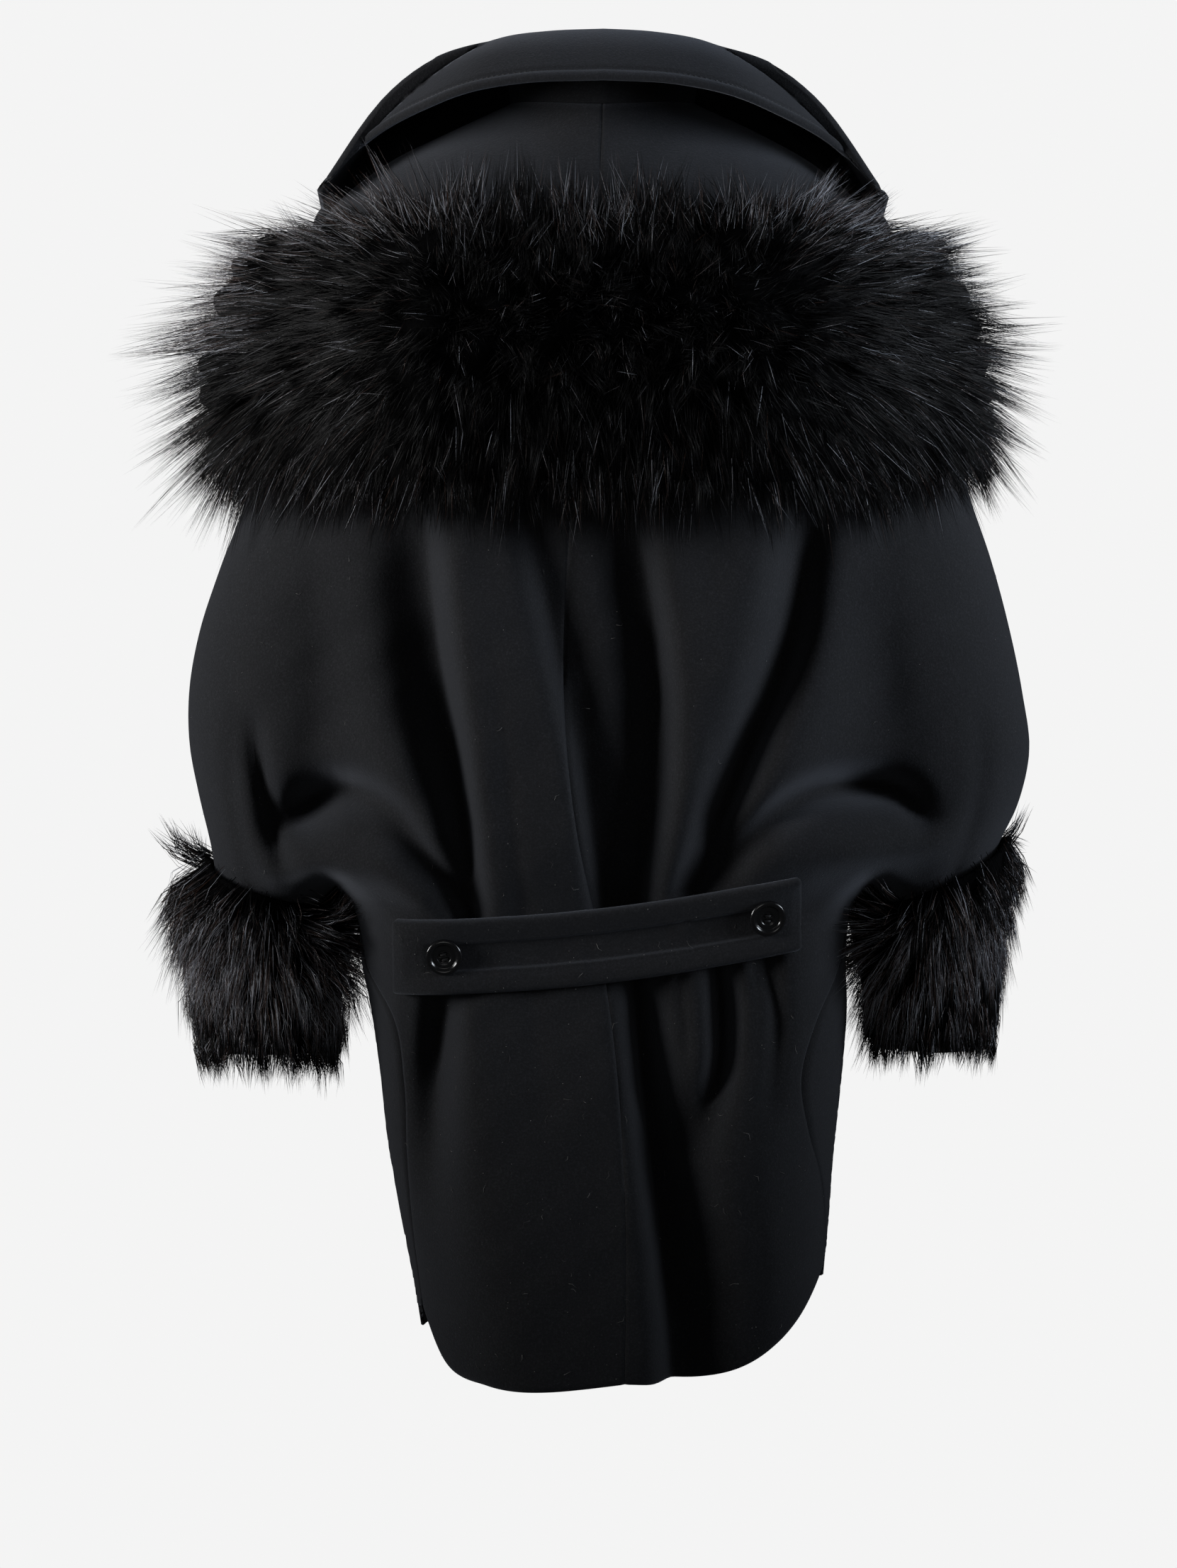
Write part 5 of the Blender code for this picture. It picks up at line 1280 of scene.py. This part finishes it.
# %% [markdown]
# ## The half belt
# A half belt lies over the folds at the back and draws them in. It is a strip with a raised
# frame, as wide as a thumb, round a lane that lies lower, held by a button at each end. Across
# it the height is a sum of two smooth steps, so that the frame has soft edges; along its
# outline the corners are quarter circles.

# %% Belt
BELT_HEIGHT, BELT_THICK, BELT_BORDER, BELT_STEP, BELT_CORNER = 58, 6.5, 18, 2.4, 3.5
BELT_LEFT, BELT_RIGHT, BELT_SAG = (155, -655), (-147, -621), 8
BELT_CLEAR = WALL / 2 + 1.2
LANE_END = 26  # the lane runs out under the buttons


def on_back(x, z):
    """The back without its troughs, over both halves: points and outward directions."""
    def at(x, z):
        plain = [
            np.maximum(stand_off(side, "back", x * side, z, False), stand_off(side, "back", x * side, z))
            for side in (LEFT, RIGHT)
        ]
        return np.stack([x, np.where(x > 0, *plain), z], axis=-1)

    x, z = np.broadcast_arrays(np.asarray(x, float), np.asarray(z, float))
    step = 2.0
    along, up = at(x + step, z) - at(x - step, z), at(x, z + step) - at(x, z - step)
    return at(x, z), unit(np.cross(up, along))


def belt_line(t):
    x = BELT_LEFT[0] + (BELT_RIGHT[0] - BELT_LEFT[0]) * t
    return x, BELT_LEFT[1] + (BELT_RIGHT[1] - BELT_LEFT[1]) * t - BELT_SAG * np.sin(np.pi * t)


def belt_skin(t, s):
    """The belt's under side at t along it and s mm above its middle line, and its way out."""
    x, z = belt_line(t)
    point, n = on_back(x, z + s)
    return point, unit(0.5 * n + 0.5 * on_back(x, z)[1])


def step_up(distance, at, width):
    """0 before a line and 1 behind it, over a soft edge."""
    return ease((distance - at) / width + 0.5)


belt_length = math.dist(BELT_LEFT, BELT_RIGHT)
near_end = np.r_[0, 0.7, 1.8, 3.2, 5, 7, 9, 11.5, 14, 16, 17, 18, 19, 20, 22]
t = np.r_[near_end / belt_length, np.linspace(0.09, 0.91, 90), 1 - near_end[::-1] / belt_length]
from_end = np.minimum(t, 1 - t) * belt_length
half = BELT_HEIGHT / 2
in_corner = np.maximum(0, BELT_CORNER - from_end)
reach = half - BELT_CORNER + np.sqrt(np.maximum(0, BELT_CORNER**2 - in_corner**2))
lane = half - BELT_BORDER
frame_part, step_part = np.linspace(-half + 5.5, -lane - 2.5, 6), np.linspace(-lane - 1.6, -lane + 1.6, 6)
s = np.r_[np.array([0, 0.7, 1.8, 3.4]) - half, frame_part, step_part, np.linspace(-lane + 3, 0, 5)]
s = np.r_[s, -s[-2::-1]][None, :] * np.ones((len(t), 1))
outer_part = np.abs(s) > lane + 3
squeezed = (np.abs(s) - lane - 3) / (half - lane - 3) * (reach[:, None] - lane - 3) + lane + 3
s = np.where(outer_part, np.sign(s) * squeezed, s)
to_rim = np.minimum(reach[:, None] - np.abs(s), from_end[:, None] + 0 * s)
in_lane = step_up(lane - np.abs(s), 0.0, 3.0) * step_up(from_end[:, None], LANE_END, 9.0)
rounded = 3.0 * (1 - turn(to_rim / 3.6))
crown = 0.8 * np.sin(np.clip(to_rim / BELT_BORDER, 0, 1) * math.pi) * (1 - in_lane)
EDGE_ROW, LANE_ROW = 4.6, BELT_BORDER - 3.4  # the stitches' distances from the belt's edge
stitch_groove = 0.35 * np.exp(-(((to_rim - EDGE_ROW) / 0.9) ** 2))
stitch_groove = stitch_groove + 0.7 * np.exp(-(((to_rim - LANE_ROW) / 0.9) ** 2))
point, out = belt_skin(t[:, None] + 0 * s, s)
height = BELT_THICK - rounded + crown - stitch_groove - BELT_STEP * in_lane
belt_faces = grid_faces(np.arange(s.size).reshape(s.shape))
if normals_of(point.reshape(-1, 3), belt_faces)[:, 1].mean() < 0:
    belt_faces = belt_faces[:, ::-1]
base = (point + out * BELT_CLEAR).reshape(-1, 3)
points, faces = wall(base, out.reshape(-1, 3), belt_faces, height.ravel(), 0.0, 0.6)
cloth["belt"] = add_piece("belt_cloth", points, faces, wool, "black_wool", ["belt"])
print("belt:", round(belt_length), "mm long")

# %% Stitches on the belt
BELT_STITCH_PITCH = 4.6


def belt_loop(inset):
    """A closed line on the belt, inset mm from its edge, with its way out."""
    a, h = inset / belt_length, half - inset
    corner = max(0.5, BELT_CORNER - inset)
    q = np.linspace(0, 1, 90)
    turn_q = np.linspace(0, math.pi / 2, 10)[1:-1]
    c = corner / belt_length
    far = 1 - a - c
    tt = np.r_[a + c + (1 - 2 * a - 2 * c) * q, far + c * np.sin(turn_q), np.full(20, 1 - a), far + c * np.cos(turn_q)]
    down_side = np.linspace(h - corner, -h + corner, 20)
    ss = np.r_[np.full(90, h), h - corner + corner * np.cos(turn_q), down_side, -h + corner - corner * np.sin(turn_q)]
    return belt_skin(np.r_[tt, 1 - tt, tt[:1]], np.r_[ss, -ss, ss[:1]])


for number, (inset, level) in enumerate(((EDGE_ROW, BELT_THICK - 0.5), (LANE_ROW, BELT_THICK - 0.2))):
    p, n = belt_loop(inset)
    points, faces = stitches_along(p + n * (BELT_CLEAR + level), n, BELT_STITCH_PITCH, 3.4, 0.4)
    add_piece(f"belt_stitches_{number + 1}", points, faces, thread, "black_wool")

# %% [markdown]
# ## Buttons
# A coat button is turned from a disc: a flat face with four holes, a groove, a raised rim and a
# rounded side. Its height is a function of the distance from its middle, less a small well at
# each hole, over a grid in rings. Thread crosses between the holes.

# %% Glossy black
horn, nodes, links, shader = new_material("polished_black_button", (0.004, 0.004, 0.0045), 0.16)
shader.inputs["Coat Weight"].default_value = 0.3
shader.inputs["Coat Roughness"].default_value = 0.06
scuffs = noise(nodes, links, 700, 4, 0.7)
dull = ramp(nodes, links, scuffs, [(0.4, (0.16, 0.16, 0.16)), (0.75, (0.30, 0.30, 0.30))])
links.new(dull, shader.inputs["Roughness"])
bumps(nodes, links, shader, [(noise(nodes, links, 260, 2), 0.05, 0.0003)])

# %% A button
BUTTON_SIDES, HOLE_R, HOLE_DEPTH = 56, 1.05, 2.4
HOLE_AT = 2.6 / math.sqrt(2) * 1.1  # of each hole, from both middle lines
BUTTON_PROFILE_COLUMNS = ("radius", "height")
BUTTON_PROFILE = [
    (0, 3.1), (5.5, 3.1), (8.2, 3.3), (9.0, 3.2), (9.6, 3.9), (10.6, 4.7), (11.8, 5.05), (12.8, 4.8),
    (13.6, 4.2), (14.0, 3.4),
]


def button_mesh():
    """Rings of BUTTON_SIDES points: face, rim and side, then the underside."""
    r = np.r_[np.linspace(0.25, 5.6, 18), np.linspace(6.1, 9.0, 5), np.linspace(9.2, 14.0, 15)]
    k = np.arange(BUTTON_SIDES)
    a = k / BUTTON_SIDES * 2 * math.pi
    x, y = r[:, None] * np.cos(a), r[:, None] * np.sin(a)
    z = smooth(r, *zip(*BUTTON_PROFILE))[:, None] + 0 * x
    for hx, hy in ((1, 1), (1, -1), (-1, 1), (-1, -1)):
        far = np.hypot(x - hx * HOLE_AT, y - hy * HOLE_AT)
        z = z - HOLE_DEPTH * (1 - ease((far - HOLE_R + 0.25) / 0.5))
    z = z - 0.5 * (1 - ease((r - 4.9) / 0.8))[:, None]
    top = np.stack([x, y, z], axis=-1)
    low_r, low_z = np.array([13.9, 13.0, 10.5, 0.25]), np.array([2.4, 1.2, 0.0, 0.0])
    low = np.stack([low_r[:, None] * np.cos(a), low_r[:, None] * np.sin(a), low_z[:, None] + 0 * a], axis=-1)
    grid = np.concatenate([top, low])
    n, sides = ring_faces(grid.shape[0], BUTTON_SIDES)
    points = np.vstack([grid.reshape(-1, 3), [[0, 0, top[0, 0, 2]], [0, 0, 0]]])
    centre = len(points) - 2
    onward = (k + 1) % BUTTON_SIDES
    top_cap = np.stack([n[0], np.full(BUTTON_SIDES, centre), n[0][onward]], axis=1)
    low_cap = np.stack([n[-1], n[-1][onward], np.full(BUTTON_SIDES, centre + 1)], axis=1)
    return points, np.vstack([sides, top_cap, low_cap])[:, ::-1]


def button_thread():
    """Two parallel loops of three threads between the holes."""
    parts, faces, count = [], [], 0
    for hy in (-1, 1):
        for k in range(3):
            p, f = grain(2 * HOLE_AT + 1.3, 0.42)
            p = p + (0, hy * HOLE_AT + (k - 1) * 0.45, 3.25 + 0.12 * (k == 1))
            parts.append(p)
            faces.append(f + count)
            count += len(p)
    return np.vstack(parts), np.vstack(faces)


def add_button(name, node, centre, out, spin):
    """A button and its thread at a place, facing out, turned in its plane by spin."""
    up = unit(np.cross(out, (1.0, 0.0, 0.2)))
    right = np.cross(up, out)
    right = right * math.cos(spin) + up * math.sin(spin)
    for part, (p, f), look in ((name, button_mesh(), horn), (name + "_thread", button_thread(), thread)):
        points, faces = many(p, f, centre[None], right[None], out[None])
        slot, replaced = ("black_button", [node]) if look is horn else ("black_wool", ())
        add_piece(part, points, faces, look, slot, replaced)


BELT_BUTTONS = {"left": (120, -652, 0.5), "right": (-122, -622, 0.15)}
for where_is, (x, z, spin) in BELT_BUTTONS.items():
    p, n = on_back(np.array([float(x)]), np.array([float(z)]))
    centre = p[0] + n[0] * (BELT_CLEAR + BELT_THICK + 0.6)
    add_button(f"belt_{where_is}_button", f"belt_button_{where_is}", centre, n[0], spin)
FRONT_BUTTONS_Z = (-345, -480, -615)
for k, z in enumerate(FRONT_BUTTONS_Z):
    p = place(RIGHT, "front", np.zeros(3), np.array([z, z - 10.0, z + 10.0]))
    n = unit(np.cross(p[2] - p[1], (-1, 0, 0)))
    centre = p[0] + n * (WALL / 2 + 0.55)
    add_button(f"front_{k + 1}_button", f"front_button_{k + 1}", centre, n, 0.3 * k)

# %% [markdown]
# ## Lint
# Black felted wool picks up lint: pale specks, and short fibres that lie curled on the nap. It is
# thickest low on the back and on the belt. A speck is a grain of eight triangles, and a fibre is
# a bent hair, both strewn over points of the cloth that are already there.

# %% Specks and fibres
LINT_COLUMNS = ("specks", "fibres")
LINT = {"back_left": (300, 80), "back_right": (190, 50), "belt": (60, 16)}

lint, nodes, links, shader = new_material("pale_lint", (0.20, 0.19, 0.18), 0.9)
LINT_TONES = [(0.40, (0.06, 0.058, 0.056)), (0.62, (0.30, 0.29, 0.28))]
links.new(ramp(nodes, links, noise(nodes, links, 90, 1), LINT_TONES), shader.inputs["Base Color"])
belt_skin_points = np.empty(len(cloth["belt"].data.vertices) * 3)
cloth["belt"].data.vertices.foreach_get("co", belt_skin_points)
skin["belt"] = belt_skin_points.reshape(-1, 3)[: len(base)] / MM, out.reshape(-1, 3)

SPECK = np.array([(1, 0, 0), (0, 1, 0), (-1, 0, 0), (0, -1, 0), (0, 0, 0.8), (0, 0, -0.8)]) * 0.34
SPECK_FACES = np.array([(k, (k + 1) % 4, 4) for k in range(4)] + [((k + 1) % 4, k, 5) for k in range(4)])

for name, (specks, fibres) in LINT.items():
    p, n = skin[name]
    low = np.where(p[:, 2] > -330, 0.0, 1.0 + 1.5 * ease((-560 - p[:, 2]) / 300))
    chosen = random.choice(len(p), specks + fibres, p=low / low.sum())
    at, up = p[chosen] + random.normal(size=(len(chosen), 3)) * 0.3, n[chosen]
    level = unit(np.cross(up, random.normal(size=up.shape)))
    grains = many(SPECK, SPECK_FACES, at[:specks], level[:specks], up[:specks])
    add_piece(f"{name}_specks", *grains, lint, "black_wool")
    root, way = at[specks:] + up[specks:] * 0.2, level[specks:]
    length = random.uniform(3, 9, fibres)[:, None]
    bow = np.cross(way, up[specks:]) * length * random.uniform(-0.3, 0.3, fibres)[:, None]
    bow = bow + up[specks:] * 0.5
    curls = spikes(root, root + way * length, bow, random.uniform(0.16, 0.30, fibres))
    faces = BENT[None] + 7 * np.arange(fibres)[:, None, None]
    add_piece(f"{name}_fibres", curls, faces.reshape(-1, 3), lint, "black_wool")

# %% [markdown]
# ## Sheets of cloth
# Only the columns are set down here for the size that a cloth piece was cut to: the width and
# length of the rectangle round the cut, its own area, as a back with its sleeve in one is far
# from a rectangle, how it is held, and what it hangs from or lies on.

SHEET_COLUMNS = ("width", "length", "area", "held", "hangs from or lies on")

# %% [markdown]
# ## The end
# The finished coat may stand proud of the packed one by what fur and cloth need, and no more.

# %% Finish
bpy.context.view_layer.update()
